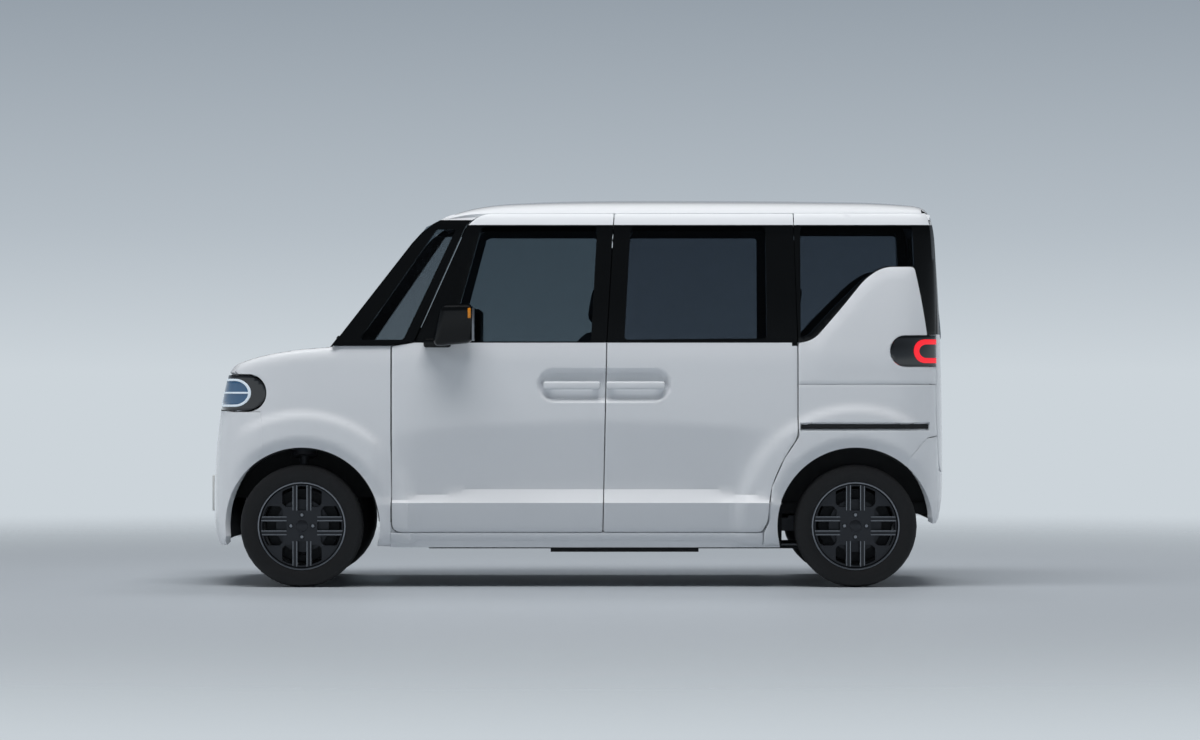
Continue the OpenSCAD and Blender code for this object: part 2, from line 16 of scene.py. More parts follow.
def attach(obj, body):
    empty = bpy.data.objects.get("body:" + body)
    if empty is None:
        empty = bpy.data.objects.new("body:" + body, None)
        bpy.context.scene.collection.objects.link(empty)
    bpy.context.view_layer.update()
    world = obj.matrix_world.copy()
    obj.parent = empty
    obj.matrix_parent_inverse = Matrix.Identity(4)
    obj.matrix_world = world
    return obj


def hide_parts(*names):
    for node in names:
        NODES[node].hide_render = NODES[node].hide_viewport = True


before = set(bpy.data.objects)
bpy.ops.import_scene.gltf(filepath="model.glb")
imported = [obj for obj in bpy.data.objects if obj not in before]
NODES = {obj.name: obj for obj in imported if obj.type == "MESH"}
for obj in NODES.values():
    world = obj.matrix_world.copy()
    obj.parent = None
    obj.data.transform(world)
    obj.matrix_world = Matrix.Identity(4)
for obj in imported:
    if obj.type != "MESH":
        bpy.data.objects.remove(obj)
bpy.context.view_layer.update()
print("nodes:", len(NODES))

# %% [markdown]
# ## Colours and materials
# Colours are written as sRGB hex and made linear by one function. One small helper adds a node and
# sets its sockets, so that each material reads as a short list of facts.

# %% Material helpers
def lin(hexa):
    """Linear RGBA of an sRGB hex colour."""
    c = [int(hexa[i:i + 2], 16) / 255 for i in (0, 2, 4)]
    return (*[v / 12.92 if v <= 0.04045 else ((v + 0.055) / 1.055) ** 2.4 for v in c], 1.0)


def add(tree, kind, **sockets):
    """Adds a node, sets plain values and links outputs."""
    n = tree.nodes.new("ShaderNode" + kind)
    for key, value in sockets.items():
        key = key.replace("_", " ")
        if isinstance(value, bpy.types.NodeSocket):
            tree.links.new(value, n.inputs[key])
        else:
            n.inputs[key].default_value = value
    return n


def noise(tree, scale, detail):
    """Noise on object coordinates."""
    place = add(tree, "TexCoord").outputs["Object"]
    return add(tree, "TexNoise", Vector=place, Scale=scale, Detail=detail).outputs["Fac"]


def material(name, colour, rough, metal=0.0, grain=0.0, scale=40.0, **more):
    """Principled material with a fine noise in its roughness, on object coordinates."""
    m = bpy.data.materials.new(name)
    m.use_nodes = True
    t = m.node_tree
    p = t.nodes["Principled BSDF"]
    p.inputs["Base Color"].default_value = lin(colour)
    p.inputs["Roughness"].default_value = rough
    p.inputs["Metallic"].default_value = metal
    for key, value in more.items():
        p.inputs[key.replace("_", " ")].default_value = value
    if grain:
        spread = add(t, "MapRange", Value=noise(t, scale, 3.0))
        spread.inputs["To Min"].default_value = max(rough - grain, 0.0)
        spread.inputs["To Max"].default_value = rough + grain
        t.links.new(spread.outputs["Result"], p.inputs["Roughness"])
    return m


def bumpy(m, scale, depth):
    """Adds a fine bump of the given depth in metres."""
    t = m.node_tree
    bump = add(t, "Bump", Height=noise(t, scale, 4.0), Distance=depth, Strength=0.6)
    t.links.new(bump.outputs["Normal"], t.nodes["Principled BSDF"].inputs["Normal"])
    return m

# %% [markdown]
# The paint is a white base under a clear coat. Pillars and mirrors are gloss black, and what lies
# low or inside is matt, so that the eye stays on the panels.

# %% Materials
PAINT = material("white_paint", "e9ebee", 0.26, grain=0.02, scale=8, Coat_Weight=1.0,
                 Coat_Roughness=0.04)
BLACK = material("gloss_black", "08090a", 0.22, grain=0.02, scale=12, Specular_IOR_Level=0.3)
TRIM = bumpy(material("grained_black_plastic", "17181a", 0.55, grain=0.06, scale=60), 900, 0.0004)
UNDER = material("underbody_black", "1b1c1e", 0.7, grain=0.08, scale=30)
STEEL = material("dark_steel", "3c3e42", 0.5, metal=0.5, grain=0.08, scale=50)
EXHAUST = material("exhaust_steel", "8d8f92", 0.35, metal=1.0, grain=0.1, scale=30)
CLOTH = bumpy(material("seat_cloth", "3b3d42", 0.9, grain=0.05, scale=200), 1400, 0.0006)
LINING = material("cabin_lining", "4a4c50", 0.8, grain=0.05, scale=90)
RUBBER = bumpy(material("tyre_rubber", "1c1c1d", 0.72, grain=0.06, scale=70), 300, 0.0003)
ALLOY = material("dark_alloy", "34363a", 0.32, metal=0.6, grain=0.04, scale=40)
MACHINED = material("machined_alloy", "9a9da2", 0.34, metal=1.0, grain=0.04, scale=80)
LENS = material("lamp_lens", "0d0f12", 0.08, grain=0.01, scale=20, Coat_Weight=1.0)
WHITE_LIGHT = material("white_light_guide", "d8e3ec", 0.3, grain=0.02, scale=20,
                       Emission_Color=lin("d8e3ec"), Emission_Strength=0.25)
BLUE_LENS = material("blue_lens", "2f5f86", 0.12, grain=0.02, scale=20, Coat_Weight=1.0)
RED_LIGHT = material("red_light_guide", "d2202c", 0.25, grain=0.02, scale=20,
                     Emission_Color=lin("e0202c"), Emission_Strength=0.9)
AMBER = material("amber_lens", "e08a1e", 0.25, grain=0.02, scale=20)
PLATE = material("blank_plate", "e4e5e2", 0.45, grain=0.03, scale=40)

# %% [markdown]
# Glass could be refracting, but a pane is a thin solid and a ray through the cabin meets four of
# its faces. A mix of a dark mirror and a tinted clear shader is calmer, and each face tints once.

# %% Glass
VENT_END = -.55


def glass(name, colour, strength, ahead=None):
    """Tinted glass: part mirror, part see-through; panes ahead of the doors may be lighter."""
    m = bpy.data.materials.new(name)
    m.use_nodes = True
    t = m.node_tree
    p = t.nodes["Principled BSDF"]
    p.inputs["Base Color"].default_value = lin("08090b")
    p.inputs["Roughness"].default_value = 0.04
    clear = add(t, "BsdfTransparent", Color=lin(colour))
    if ahead:
        x = add(t, "SeparateXYZ", Vector=add(t, "TexCoord").outputs["Object"]).outputs["X"]
        step = add(t, "MapRange", Value=x, From_Min=VENT_END, From_Max=VENT_END + .01)
        tint = add(t, "ValToRGB", Fac=step.outputs["Result"])
        tint.color_ramp.elements[0].color = lin(ahead)
        tint.color_ramp.elements[1].color = lin(colour)
        t.links.new(tint.outputs["Color"], clear.inputs["Color"])
    mix = add(t, "MixShader", Fac=strength)
    t.links.new(clear.outputs["BSDF"], mix.inputs[1])
    t.links.new(p.outputs["BSDF"], mix.inputs[2])
    t.links.new(mix.outputs["Shader"], t.nodes["Material Output"].inputs["Surface"])
    return m


TINTED = glass("privacy_glass", "c6ccd2", 0.20, "dde2e5")
CLEAR = glass("clear_glass", "cad1d5", 0.12)

# %% [markdown]
# ## The body's surface
# Three outlines describe the body: side view, cross-section and plan. Each is a short table of
# corners with the length over which a corner is eased, so a change of shape is one number.

# %% Outlines of the body
NOSE, TAIL, HALF_W, TOP = -1.6975, 1.6975, 0.7375, 1.790
FRONT_X, REAR_X, WHEEL_Z, WHEEL_Y = NOSE + 0.447, NOSE + 2.967, 0.2785, 0.6525
ARCH_R = 0.357


def eased(rows, n=6):
    """Outline with rounded corners from rows of x, y and ease length."""
    rows = [np.array(r, float) for r in rows]
    out = []
    for i, r in enumerate(rows):
        a, b, p, e = rows[i - 1][:2], rows[(i + 1) % len(rows)][:2], r[:2], r[2]
        if e == 0:
            out.append(p)
            continue
        s = p + (a - p) / np.linalg.norm(a - p) * e
        f = p + (b - p) / np.linalg.norm(b - p) * e
        for t in np.linspace(0, 1, n + 1):
            out.append((1 - t) ** 2 * s + 2 * t * (1 - t) * p + t * t * f)
    return np.array(out)


PROFILE = eased([  # x, z, ease
    (NOSE + .048, .180, .02), (TAIL - .430, .180, 0), (TAIL - .300, .245, .03),
    (TAIL - .042, .281, .03), (TAIL, .420, .05), (TAIL, .720, .09), (TAIL - .016, 1.080, .09),
    (TAIL - .062, TOP - .160, .06), (TAIL - .100, TOP - .046, .05),
    (TAIL - .330, TOP - .016, .11), (NOSE + 2.400, TOP, .3), (NOSE + 1.700, TOP, .26),
    (NOSE + 1.250, TOP - .038, .15), (NOSE + 1.008, 1.646, .1), (NOSE + .582, 1.094, 0),
    (NOSE + .440, 1.084, .06), (NOSE + .270, 1.056, .07), (NOSE + .112, 1.006, .06),
    (NOSE + .062, .830, .09), (NOSE + .008, .560, .06), (NOSE, .440, .04), (NOSE, .300, .06)])
half = [  # y, z, ease
    (HALF_W - .067, .100, 0), (HALF_W - .026, .250, .012), (HALF_W - .003, .384, .006),
    (HALF_W - .005, .600, .06), (HALF_W, .880, .06), (HALF_W - .004, 1.032, .03),
    (HALF_W - .023, 1.114, .006), (HALF_W - .098, 1.645, .03), (HALF_W - .130, 1.708, .028),
    (HALF_W - .215, TOP - .038, .045), (HALF_W - .420, TOP - .010, .07), (.150, TOP, .06)]
SECTION = eased(half + [(-a, b, e) for a, b, e in half[::-1]])
half = [  # x, y, ease
    (TAIL, .260, .09), (TAIL - .014, HALF_W - .190, .06), (TAIL - .070, HALF_W - .074, .055),
    (TAIL - .200, HALF_W - .012, .06), (TAIL - .560, HALF_W, .16), (NOSE + .800, HALF_W, .16),
    (NOSE + .350, HALF_W - .008, .09), (NOSE + .140, HALF_W - .066, .08),
    (NOSE + .044, HALF_W - .210, .08), (NOSE, .260, .09)]
PLAN = eased(half + [(a, -b, e) for a, b, e in half[::-1]])

# %% [markdown]
# The skin lies where all three outlines hold at once, with soft edges between them. A boolean of
# three prisms would give the same body with hard edges. Here the distances to the outlines are
# blended instead, and a ray finds the skin by halving its length until it ends there.

# %% Finding the skin
EDGE = 0.05


def distance(poly, px, py):
    """Signed distance of points to an outline, negative inside."""
    a, b = poly, np.roll(poly, -1, 0)
    e = b - a
    wx, wy = px[:, None] - a[None, :, 0], py[:, None] - a[None, :, 1]
    t = np.clip((wx * e[:, 0] + wy * e[:, 1]) / (e ** 2).sum(1), 0, 1)
    d2 = ((wx - t * e[:, 0]) ** 2 + (wy - t * e[:, 1]) ** 2).min(1)
    over = (a[None, :, 1] <= py[:, None]) != (b[None, :, 1] <= py[:, None])
    cross = a[:, 0] + wy / np.where(e[:, 1] == 0, 1e-12, e[:, 1]) * e[:, 0]
    inside = (over & (px[:, None] < cross)).sum(1) % 2 == 1
    return np.where(inside, -1, 1) * np.sqrt(d2)


def soft_max(a, b, k):
    """The larger of two, blended where they differ by less than k."""
    h = np.clip(k - abs(a - b), 0, None) / k
    return np.maximum(a, b) + h * h * k / 4


def depth(x, y, z):
    """How far a point lies outside the body."""
    d = soft_max(distance(PROFILE, x, z), distance(SECTION, y, z), EDGE)
    return soft_max(d, distance(PLAN, x, y), EDGE)


def thrown(point, like, low, high, steps=17):
    """Where rays leave the body, between a low end inside it and a high end outside."""
    lo, hi = np.full_like(like, low), np.full_like(like, high)
    for _ in range(steps):
        mid = (lo + hi) / 2
        inside = depth(*point(mid)) < 0
        lo, hi = np.where(inside, mid, lo), np.where(inside, hi, mid)
    return (lo + hi) / 2

# %% [markdown]
# The sides are not plain: flares swell round the wheels, the doors have a hollow that ends in a
# crease, both handles lie in one pill-shaped recess, and the rear quarter is raised. A sculpted
# mesh could hold this, but a height added to the skin lets neighbouring panels agree at a seam.

# %% Shaping of the sides
DOOR_FRONT = FRONT_X + 0.408
PILL_X0, PILL_X1, PILL_Z, PILL_R = FRONT_X + 1.070, FRONT_X + 1.682, 0.918, 0.080
FLARE, LIP, HOLLOW, TUCK, RECESS, RAISE = 0.021, 0.004, 0.044, 0.014, 0.030, 0.009
CREASE = 0.384
HUMP = eased([  # x, z, ease
    (REAR_X - .258, 1.110, 0), (REAR_X - .190, 1.124, .045), (REAR_X - .052, 1.283, .05),
    (REAR_X + .042, 1.400, .04), (REAR_X + .125, 1.458, .05), (REAR_X + .270, 1.458, .02),
    (TAIL - .101, 1.147, 0)])
HUMP_AREA = np.concatenate([HUMP, [(TAIL - .101, .3), (REAR_X - .6, .3), (REAR_X - .6, 1.110)]])


def slope(v, a, b):
    """0 at a, 1 at b, straight between."""
    return np.clip((v - a) / (b - a), 0, 1)


def ramp(v, a, b):
    """0 at a, 1 at b, smooth between."""
    t = slope(v, a, b)
    return t * t * (3 - 2 * t)


def relief(x, z):
    """Height of the side over the plain skin, outwards positive."""
    out = np.zeros_like(x)
    for wx, big in ((FRONT_X, 0.535), (REAR_X, 0.562)):
        r = np.hypot(x - wx, z - WHEEL_Z)
        flare = FLARE * ramp(r, big, big - 0.05) * ramp(r, ARCH_R, 0.41)
        out += flare * ramp(abs(x - DOOR_FRONT), 0.004, 0.085)  # room for the door's swing
        out += LIP * ramp(r, 0.41, 0.388)
    span = ramp(x, -0.97, -0.62) * ramp(x, 1.04, 0.68)
    brow = 0.752 - 0.055 * ((x - 0.1) / 0.9) ** 2
    turn = 0.396 + 0.052 * ramp(x, -0.88, -0.35) * ramp(x, 0.98, 0.50)
    out -= HOLLOW * span * slope(z, brow, turn) * slope(z, CREASE, turn)
    out -= TUCK * slope(z, CREASE, 0.25) * ramp(x, -0.86, -0.80) * ramp(x, 0.92, 0.84)
    near = np.hypot(x - np.clip(x, PILL_X0 + PILL_R, PILL_X1 - PILL_R), z - PILL_Z)
    out -= RECESS * ramp(near, PILL_R, 0.052)
    raised = ramp(z, 0.90, 1.12) * ramp(x, REAR_X - .26, REAR_X - .13)
    out += RAISE * raised * ramp(-distance(HUMP_AREA, x, z), 0, 0.045)
    return out

# %% [markdown]
# Each panel is drawn in the view that shows it best: side, top or rear. The corners bend through
# two views, so the ends are also seen from a post inside them, with the angle as one coordinate.

# %% Skins in each view
WRAP = 0.62
FRONT_C, REAR_C = NOSE + WRAP, TAIL - WRAP


def on_side(x, z):
    """Left side of the body at x, z."""
    y = thrown(lambda s: (x, s, z), x, 0.2, 0.85)
    return np.stack([x, -y - relief(x, z), z], 1)


def on_top(x, y):
    """Upper side at x, y."""
    return np.stack([x, y, thrown(lambda s: (x, y, s), x, 0.6, 1.85)], 1)


def on_rear(y, z):
    """Rear at y, z."""
    return np.stack([thrown(lambda s: (s, y, z), y, 0.9, 1.75), y, z], 1)


def around(post, way, by=0.0):
    """Skin of one end seen from a post: u is the angle times WRAP, left side negative."""
    def skin(u, z):
        """Points of the end at u, z."""
        c, s = np.cos(u / WRAP), np.sin(u / WRAP)
        r = thrown(lambda r: (post + way * r * c, r * s, z), u, 0.2, 1.2)
        p = np.stack([post + way * r * c, r * s, z], 1)
        p[:, 1] += np.sign(u) * relief(p[:, 0], z) * ramp(abs(u / WRAP), 0.8, 1.1)
        if by:  # moved away from the post by a distance
            d = np.stack([p[:, 0] - post, p[:, 1]], 1)
            p[:, :2] += d / np.linalg.norm(d, axis=1)[:, None] * by
        return p
    return skin


NOSE_END, TAIL_END = (FRONT_C, -1), (REAR_C, 1)  # post, way
on_nose, on_tail = around(*NOSE_END), around(*TAIL_END)

# %% [markdown]
# ## Panels
# A panel starts as a flat outline with holes. Cutting planes lay a grid over it, its points move
# to the skin, and it gets a thickness inwards and a small round at its rim. Cutting the outline
# keeps its edge exact, which a cage under a subdivision would not.

# %% Panel maker
BODY_MIDDLE = Vector((0, 0, 0.8))


def cut(bm, axis, at, way=1, dist=1e-5, **more):
    """Cuts a mesh by a plane across an axis."""
    co, no = Vector((0, 0, 0)), Vector((0, 0, 0))
    co[axis], no[axis] = at, way
    return bmesh.ops.bisect_plane(bm, geom=bm.verts[:] + bm.edges[:] + bm.faces[:], dist=dist,
                                  plane_co=co, plane_no=no, **more)


def grid_sheet(outline, holes, pitch, extra_u=(), extra_v=()):
    """Flat bmesh sheet of an outline with holes, cut by a grid."""
    bm = bmesh.new()
    for loop in [outline, *holes]:
        vs = [bm.verts.new((p[0], p[1], 0)) for p in loop]
        for i, v in enumerate(vs):
            bm.edges.new((vs[i - 1], v))
    bmesh.ops.triangle_fill(bm, use_beauty=True, edges=bm.edges[:], normal=(0, 0, 1))
    lo, hi = np.min(outline, 0), np.max(outline, 0)
    for axis, extra in ((0, extra_u), (1, extra_v)):
        n = max(int((hi[axis] - lo[axis]) / pitch), 1)
        for at in [*np.linspace(lo[axis], hi[axis], n + 1)[1:-1], *extra]:
            cut(bm, axis, at)
    slant = [e for e in bm.edges if not e.is_boundary
             and min(abs(d) for d in (e.verts[0].co - e.verts[1].co).xy) > 1e-6]
    bmesh.ops.dissolve_edges(bm, edges=slant, use_verts=False)
    spare = [v for v in bm.verts if len(v.link_edges) == 2 and not v.is_boundary]
    bmesh.ops.dissolve_verts(bm, verts=spare)
    return bm


def throw(bm, surface):
    """Moves the points of a flat sheet to a skin."""
    u = np.array([v.co.x for v in bm.verts])
    w = np.array([v.co.y for v in bm.verts])
    for v, p in zip(bm.verts, surface(u, w)):
        v.co = p


def outward(bm, centre):
    """Turns the faces to look away from a point."""
    bm.normal_update()
    total = sum((f.calc_center_median() - centre).dot(f.normal) for f in bm.faces)
    if total < 0:
        bmesh.ops.reverse_faces(bm, faces=bm.faces[:])
    bm.normal_update()


def panel_mesh(outline, holes=(), surface=on_side, pitch=0.03, thick=0.03, rim=0.003,
               extra_u=(), extra_v=()):
    """One thick panel as a bmesh: outer faces and rim in material slot 0, inner faces in 1."""
    bm = grid_sheet(outline, holes, pitch, extra_u, extra_v)
    throw(bm, surface)
    outward(bm, BODY_MIDDLE)
    rims = [e for e in bm.edges if e.is_boundary]
    moved = bmesh.ops.extrude_face_region(bm, geom=bm.faces[:], use_keep_orig=True)["geom"]
    inner = [g for g in moved if isinstance(g, bmesh.types.BMVert)]
    for v in inner:
        v.co -= v.normal * thick
    for f in moved:
        if isinstance(f, bmesh.types.BMFace):
            f.normal_flip()
            f.material_index = 1
    bmesh.ops.recalc_face_normals(bm, faces=bm.faces[:])
    if rim:
        bmesh.ops.bevel(bm, geom=rims, offset=rim, segments=2, profile=0.5, affect="EDGES",
                        material=-1, clamp_overlap=True)
    return bm

# %% [markdown]
# Meshes become objects in one place: parts are joined, faces get their material slot, edges past
# an angle stay sharp, and the object rides on its body. The right side mirrors the left.

# %% Objects from meshes
def joined(parts):
    """One bmesh from several, which are used up."""
    bm = bmesh.new()
    for part in parts:
        tmp = bpy.data.meshes.new("tmp")
        part.to_mesh(tmp)
        bm.from_mesh(tmp)
        bpy.data.meshes.remove(tmp)
        part.free()
    return bm


def to_object(name, parts, materials, body, replaces=(), angle=32, pick=None):
    """Joins bmeshes into one smooth object that rides on a body; pick may choose slots."""
    me = bpy.data.meshes.new(name)
    bm = joined(parts)
    for f in bm.faces:
        f.smooth = True
        if pick:
            f.material_index = pick(f)
    bm.to_mesh(me)
    bm.free()
    me.set_sharp_from_angle(angle=math.radians(angle))
    for m in materials:
        me.materials.append(m)
    o = bpy.data.objects.new(name, me)
    bpy.context.scene.collection.objects.link(o)
    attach(o, body)
    if replaces:
        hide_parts(*replaces)
    print(name, len(me.polygons), "faces")
    return o


def slot(bm, i):
    """All faces of a mesh in one material slot."""
    for f in bm.faces:
        f.material_index = i
    return bm


def mirrored(bm):
    """Copy on the car's right side."""
    other = bm.copy()
    bmesh.ops.scale(other, vec=(1, -1, 1), verts=other.verts[:])
    bmesh.ops.reverse_faces(other, faces=other.faces[:])
    return other


def both(parts):
    """Parts of the left side with their copies on the right."""
    return parts + [mirrored(p) for p in parts]


def sides(bm):
    """A left and a right copy by name, of a mesh that is used up."""
    pair = ("left", bm.copy()), ("right", mirrored(bm))
    bm.free()
    return pair

# %% [markdown]
# Outlines are put together from a few kinds of line, and end panels need the angle coordinate of
# points that are known in another view.

# %% Outline helpers
def inset(pts, d):
    """Outline moved in by d."""
    p = np.array(pts)
    if np.sum(p[:, 0] * np.roll(p[:, 1], -1) - np.roll(p[:, 0], -1) * p[:, 1]) < 0:
        p = p[::-1]
    a, b = p - np.roll(p, 1, 0), np.roll(p, -1, 0) - p
    a, b = (v / np.linalg.norm(v, axis=1)[:, None] for v in (a, b))
    n0, n1 = (np.stack([-v[:, 1], v[:, 0]], 1) for v in (a, b))
    return p + d * (n0 + n1) / (1 + (n0 * n1).sum(1))[:, None]


def arc(cx, cz, r, a0, a1, n=40, rz=None):
    """Points on a circle, or on an ellipse where rz differs from r, between two angles."""
    t = np.radians(np.linspace(a0, a1, n))
    return np.stack([cx + r * np.cos(t), cz + (r if rz is None else rz) * np.sin(t)], 1)


def dense(pts, step=0.03):
    """Closed outline with more points on its long edges."""
    out = []
    p = np.array(pts)
    for a, b in zip(p, np.roll(p, -1, 0)):
        n = max(int(np.linalg.norm(b - a) / step), 1)
        out += [a + (b - a) * i / n for i in range(n)]
    return np.array(out)


def path(pts, step=0.03):
    """Open polyline with points at most a step apart."""
    out = [np.array(pts[0], float)]
    for a, b in zip(pts, pts[1:]):
        a, b = np.array(a, float), np.array(b, float)
        n = max(math.ceil(np.linalg.norm(b - a) / step), 1)
        out += [a + (b - a) * (i + 1) / n for i in range(n)]
    return np.array(out)


def nose_line(pts, view=on_side):
    """Points of the left side, or of the top, in the coordinates of on_nose."""
    x, y, z = view(*np.array(pts, float).T).T
    return np.stack([WRAP * np.arctan2(y, FRONT_C - x), z], 1)


def tail_line(pts):
    """Points of the left side in the coordinates of on_tail."""
    x, y, z = on_side(*np.array(pts, float).T).T
    return np.stack([WRAP * np.arctan2(y, x - REAR_C), z], 1)


def end_to_wrap(pts, way):
    """Points y, z of the front (way -1) or rear view (way 1) in the coordinates of that end."""
    y, z = np.array(pts, float).T
    x = thrown(lambda t: (way * t, y, z), y, 0.4, 1.75)
    return np.stack([WRAP * np.arctan2(y, x - REAR_C), z], 1)

# %% [markdown]
# ## Doors
# Front and sliding door share the slanted line of the B pillar. Each is one thick leaf with its
# window cut out; the band between belt and roof is gloss black, as in the photo.

# %% Door outlines
C_LINE = REAR_X - 0.263
B_LINE = DOOR_FRONT + 0.5203 * (C_LINE - DOOR_FRONT)
BELT, GLASS_TOP, GUTTER, SILL, COWL = 1.114, 1.643, 1.704, 0.249, 1.094
BAND_LOW, BAND_TOP = BELT - 0.002, GLASS_TOP + 0.007
SEAM_W = 0.005
front_door = eased([
    (DOOR_FRONT, SILL, .046), (B_LINE, SILL, .012), (B_LINE + .018, BELT, 0),
    (B_LINE + .052, GUTTER, .01), (FRONT_X + .815, GUTTER, .05), (FRONT_X + .748, 1.646, .02),
    (FRONT_X + .512, BELT, .012), (DOOR_FRONT, BELT - .016, .01)])
slide_door = eased([
    (B_LINE, SILL, .012), (REAR_X - .425, SILL, .02), (REAR_X - .398, .300, .02),
    (REAR_X - .386, .450, .06), (REAR_X - .330, .580, .06), (C_LINE, .680, .03),
    (C_LINE, BELT + .010, .012), (C_LINE - .017, GUTTER, .01), (B_LINE + .052, GUTTER, .01),
    (B_LINE + .018, BELT, 0)])
front_window = eased([
    (FRONT_X + .672, BELT + .004, .024), (B_LINE - .054, BELT + .004, .02),
    (B_LINE - .026, GLASS_TOP, .02), (FRONT_X + .816, GLASS_TOP, .024),
    (FRONT_X + .730, 1.326, .06)])
slide_window = eased([
    (B_LINE + .098, BELT + .012, .02), (C_LINE - .141, BELT + .018, .02),
    (C_LINE - .145, GLASS_TOP, .02), (B_LINE + .127, GLASS_TOP, .02)])

# %% [markdown]
# The leaf gets extra cuts where its shape turns quickly: round the handle recess, at the crease
# and at the edges of the black band.

# %% Doors
SKIN = [PAINT, BLACK, LINING]


def banded(low, high):
    """Slots of SKIN: lining on inner faces, gloss black on outer ones between two heights."""
    def pick(f):
        """Slot of one face."""
        if f.material_index == 1:
            return 2
        return 1 if low < f.calc_center_median().z < high else 0
    return pick


fine_z = [*np.arange(0.830, 1.006, 0.008), BAND_LOW, BAND_TOP, CREASE, CREASE - .008]
for name, door, window in (("front_door", front_door, front_window),
                           ("slide_door", slide_door, slide_window)):
    lo, hi = door[:, 0].min(), door[:, 0].max()
    fine_x = [x for x in np.arange(PILL_X0 - .01, PILL_X1 + .02, 0.01) if lo < x < hi]
    leaf = panel_mesh(inset(door, SEAM_W / 2), [window], on_side, 0.024, 0.066, 0.004,
                      fine_x, fine_z)
    for side, mesh in sides(leaf):
        body = f"front_door_{side}" if name == "front_door" else "body"
        to_object(f"{name}_{side}_skin", [mesh], SKIN, body, [f"{name}_{side}"],
                  pick=banded(BAND_LOW, BAND_TOP))

# %% [markdown]
# ## Rear quarter and sills
# The rear corner bends from the side to the back, so its panels are thrown outwards from the post
# inside the tail. The white hump below the quarter window has its own outline, and what surrounds
# the glass is gloss black.

# %% Outlines of the quarter
QUARTER_SEAM, TAIL_LAMP_Z, ROUND_N = 0.923, 1.0735, 25
edge_x = C_LINE + SEAM_W / 2
quarter_window = eased([
    (REAR_X - .250, BELT + .024, .008), (REAR_X - .212, BELT + .034, .02),
    (REAR_X - .130, 1.240, .05), (REAR_X + .042, 1.410, .05), (REAR_X + .125, 1.462, .04),
    (REAR_X + .272, 1.462, .012), (REAR_X + .262, GLASS_TOP, .016),
    (REAR_X - .250, GLASS_TOP, .016)])
GATE = [  # half width of the tailgate, z, ease
    (HALF_W - .138, .520, .06), (HALF_W - .108, .780, .06), (HALF_W - .108, 1.110, .06)]
GATE_LEAN = (HALF_W - .167, 1.900)


def gate_edge(z0, z1, n=30):
    """Line beside the tailgate's left edge, a seam away from it."""
    half_width, height = zip(*[row[:2] for row in GATE], GATE_LEAN)
    z = np.linspace(z0, z1, n)
    return end_to_wrap(np.stack([-np.interp(z, height, half_width) - SEAM_W, z], 1), 1)


notch = arc(TAIL - .198, TAIL_LAMP_Z, .071, 90, 270, ROUND_N, .0725)
upper = np.concatenate([
    tail_line(path([(edge_x, QUARTER_SEAM + .002), (edge_x, BELT - .02)])), tail_line(HUMP),
    tail_line(notch), gate_edge(1.001, QUARTER_SEAM + .002, 8)])
surround = np.concatenate([
    tail_line([(edge_x, BELT + .001)]), tail_line(HUMP[1:] + np.array([0, .003])),
    gate_edge(1.152, GUTTER, 40), tail_line(path([(TAIL - .15, GUTTER), (edge_x - .016, GUTTER)]))])
lower = np.concatenate([
    tail_line(path([(edge_x, QUARTER_SEAM - .002), (edge_x, .684), (REAR_X - .328, .584),
                    (REAR_X - .383, .455), (REAR_X - .394, .300), (REAR_X - .420, .2465),
                    (REAR_X - .420, .184)])),
    tail_line(arc(REAR_X, WHEEL_Z, ARCH_R, 195, 50, 60)),
    tail_line(path([(TAIL - .156, .604), (TAIL - .090, .680)])),
    gate_edge(.690, QUARTER_SEAM - .002, 10)])
slide_slot = dense([(C_LINE + .008, .713), (TAIL - .088, .713), (TAIL - .088, .749),
                    (C_LINE + .008, .749)])
sill = [(DOOR_FRONT - .004, .184), (REAR_X - .422, .184), (REAR_X - .422, .2465),
        (DOOR_FRONT - .004, .2465)]

# %% [markdown]
# Upper quarter, window surround, lower quarter with the slot of the sliding door's rail, and the
# sill below the doors make one object, since all are fixed to the body.

# %% Quarter panels
parts = [panel_mesh(upper, [], on_tail, 0.02, 0.03, 0.004),
         panel_mesh(surround, [tail_line(dense(quarter_window))], on_tail, 0.025, 0.03, 0.002,
                    (), [BAND_TOP]),
         panel_mesh(lower, [tail_line(slide_slot)], on_tail, 0.018, 0.03, 0.004),
         panel_mesh(dense(sill, .06), [], on_side, 0.03, 0.03, 0.004)]
for f in parts[1].faces:
    if f.material_index == 0 and f.calc_center_median().z <= BAND_TOP:
        f.material_index = 2
to_object("quarter_panels", both(parts), [PAINT, UNDER, BLACK], "body")

# %% [markdown]
# The frame behind the doors is the CAD wall, drawn 18 mm further in so that the outer skins stay
# in front of it. Its front pillars are cut out of the same wall and shown in gloss black.

# %% Inner frame and front pillars
def node_copy(name):
    """Mesh of a CAD node, to be changed freely."""
    bm = bmesh.new()
    bm.from_mesh(NODES[name].data)
    bm.transform(NODES[name].matrix_world)
    return bm


def keep(bm, axis, at, above):
    """Cuts a closed mesh by a plane across an axis and keeps one side, closed again."""
    made = cut(bm, axis, at, -1 if above else 1, 1e-6, clear_outer=True)["geom_cut"]
    bmesh.ops.holes_fill(bm, edges=[g for g in made if isinstance(g, bmesh.types.BMEdge)], sides=0)


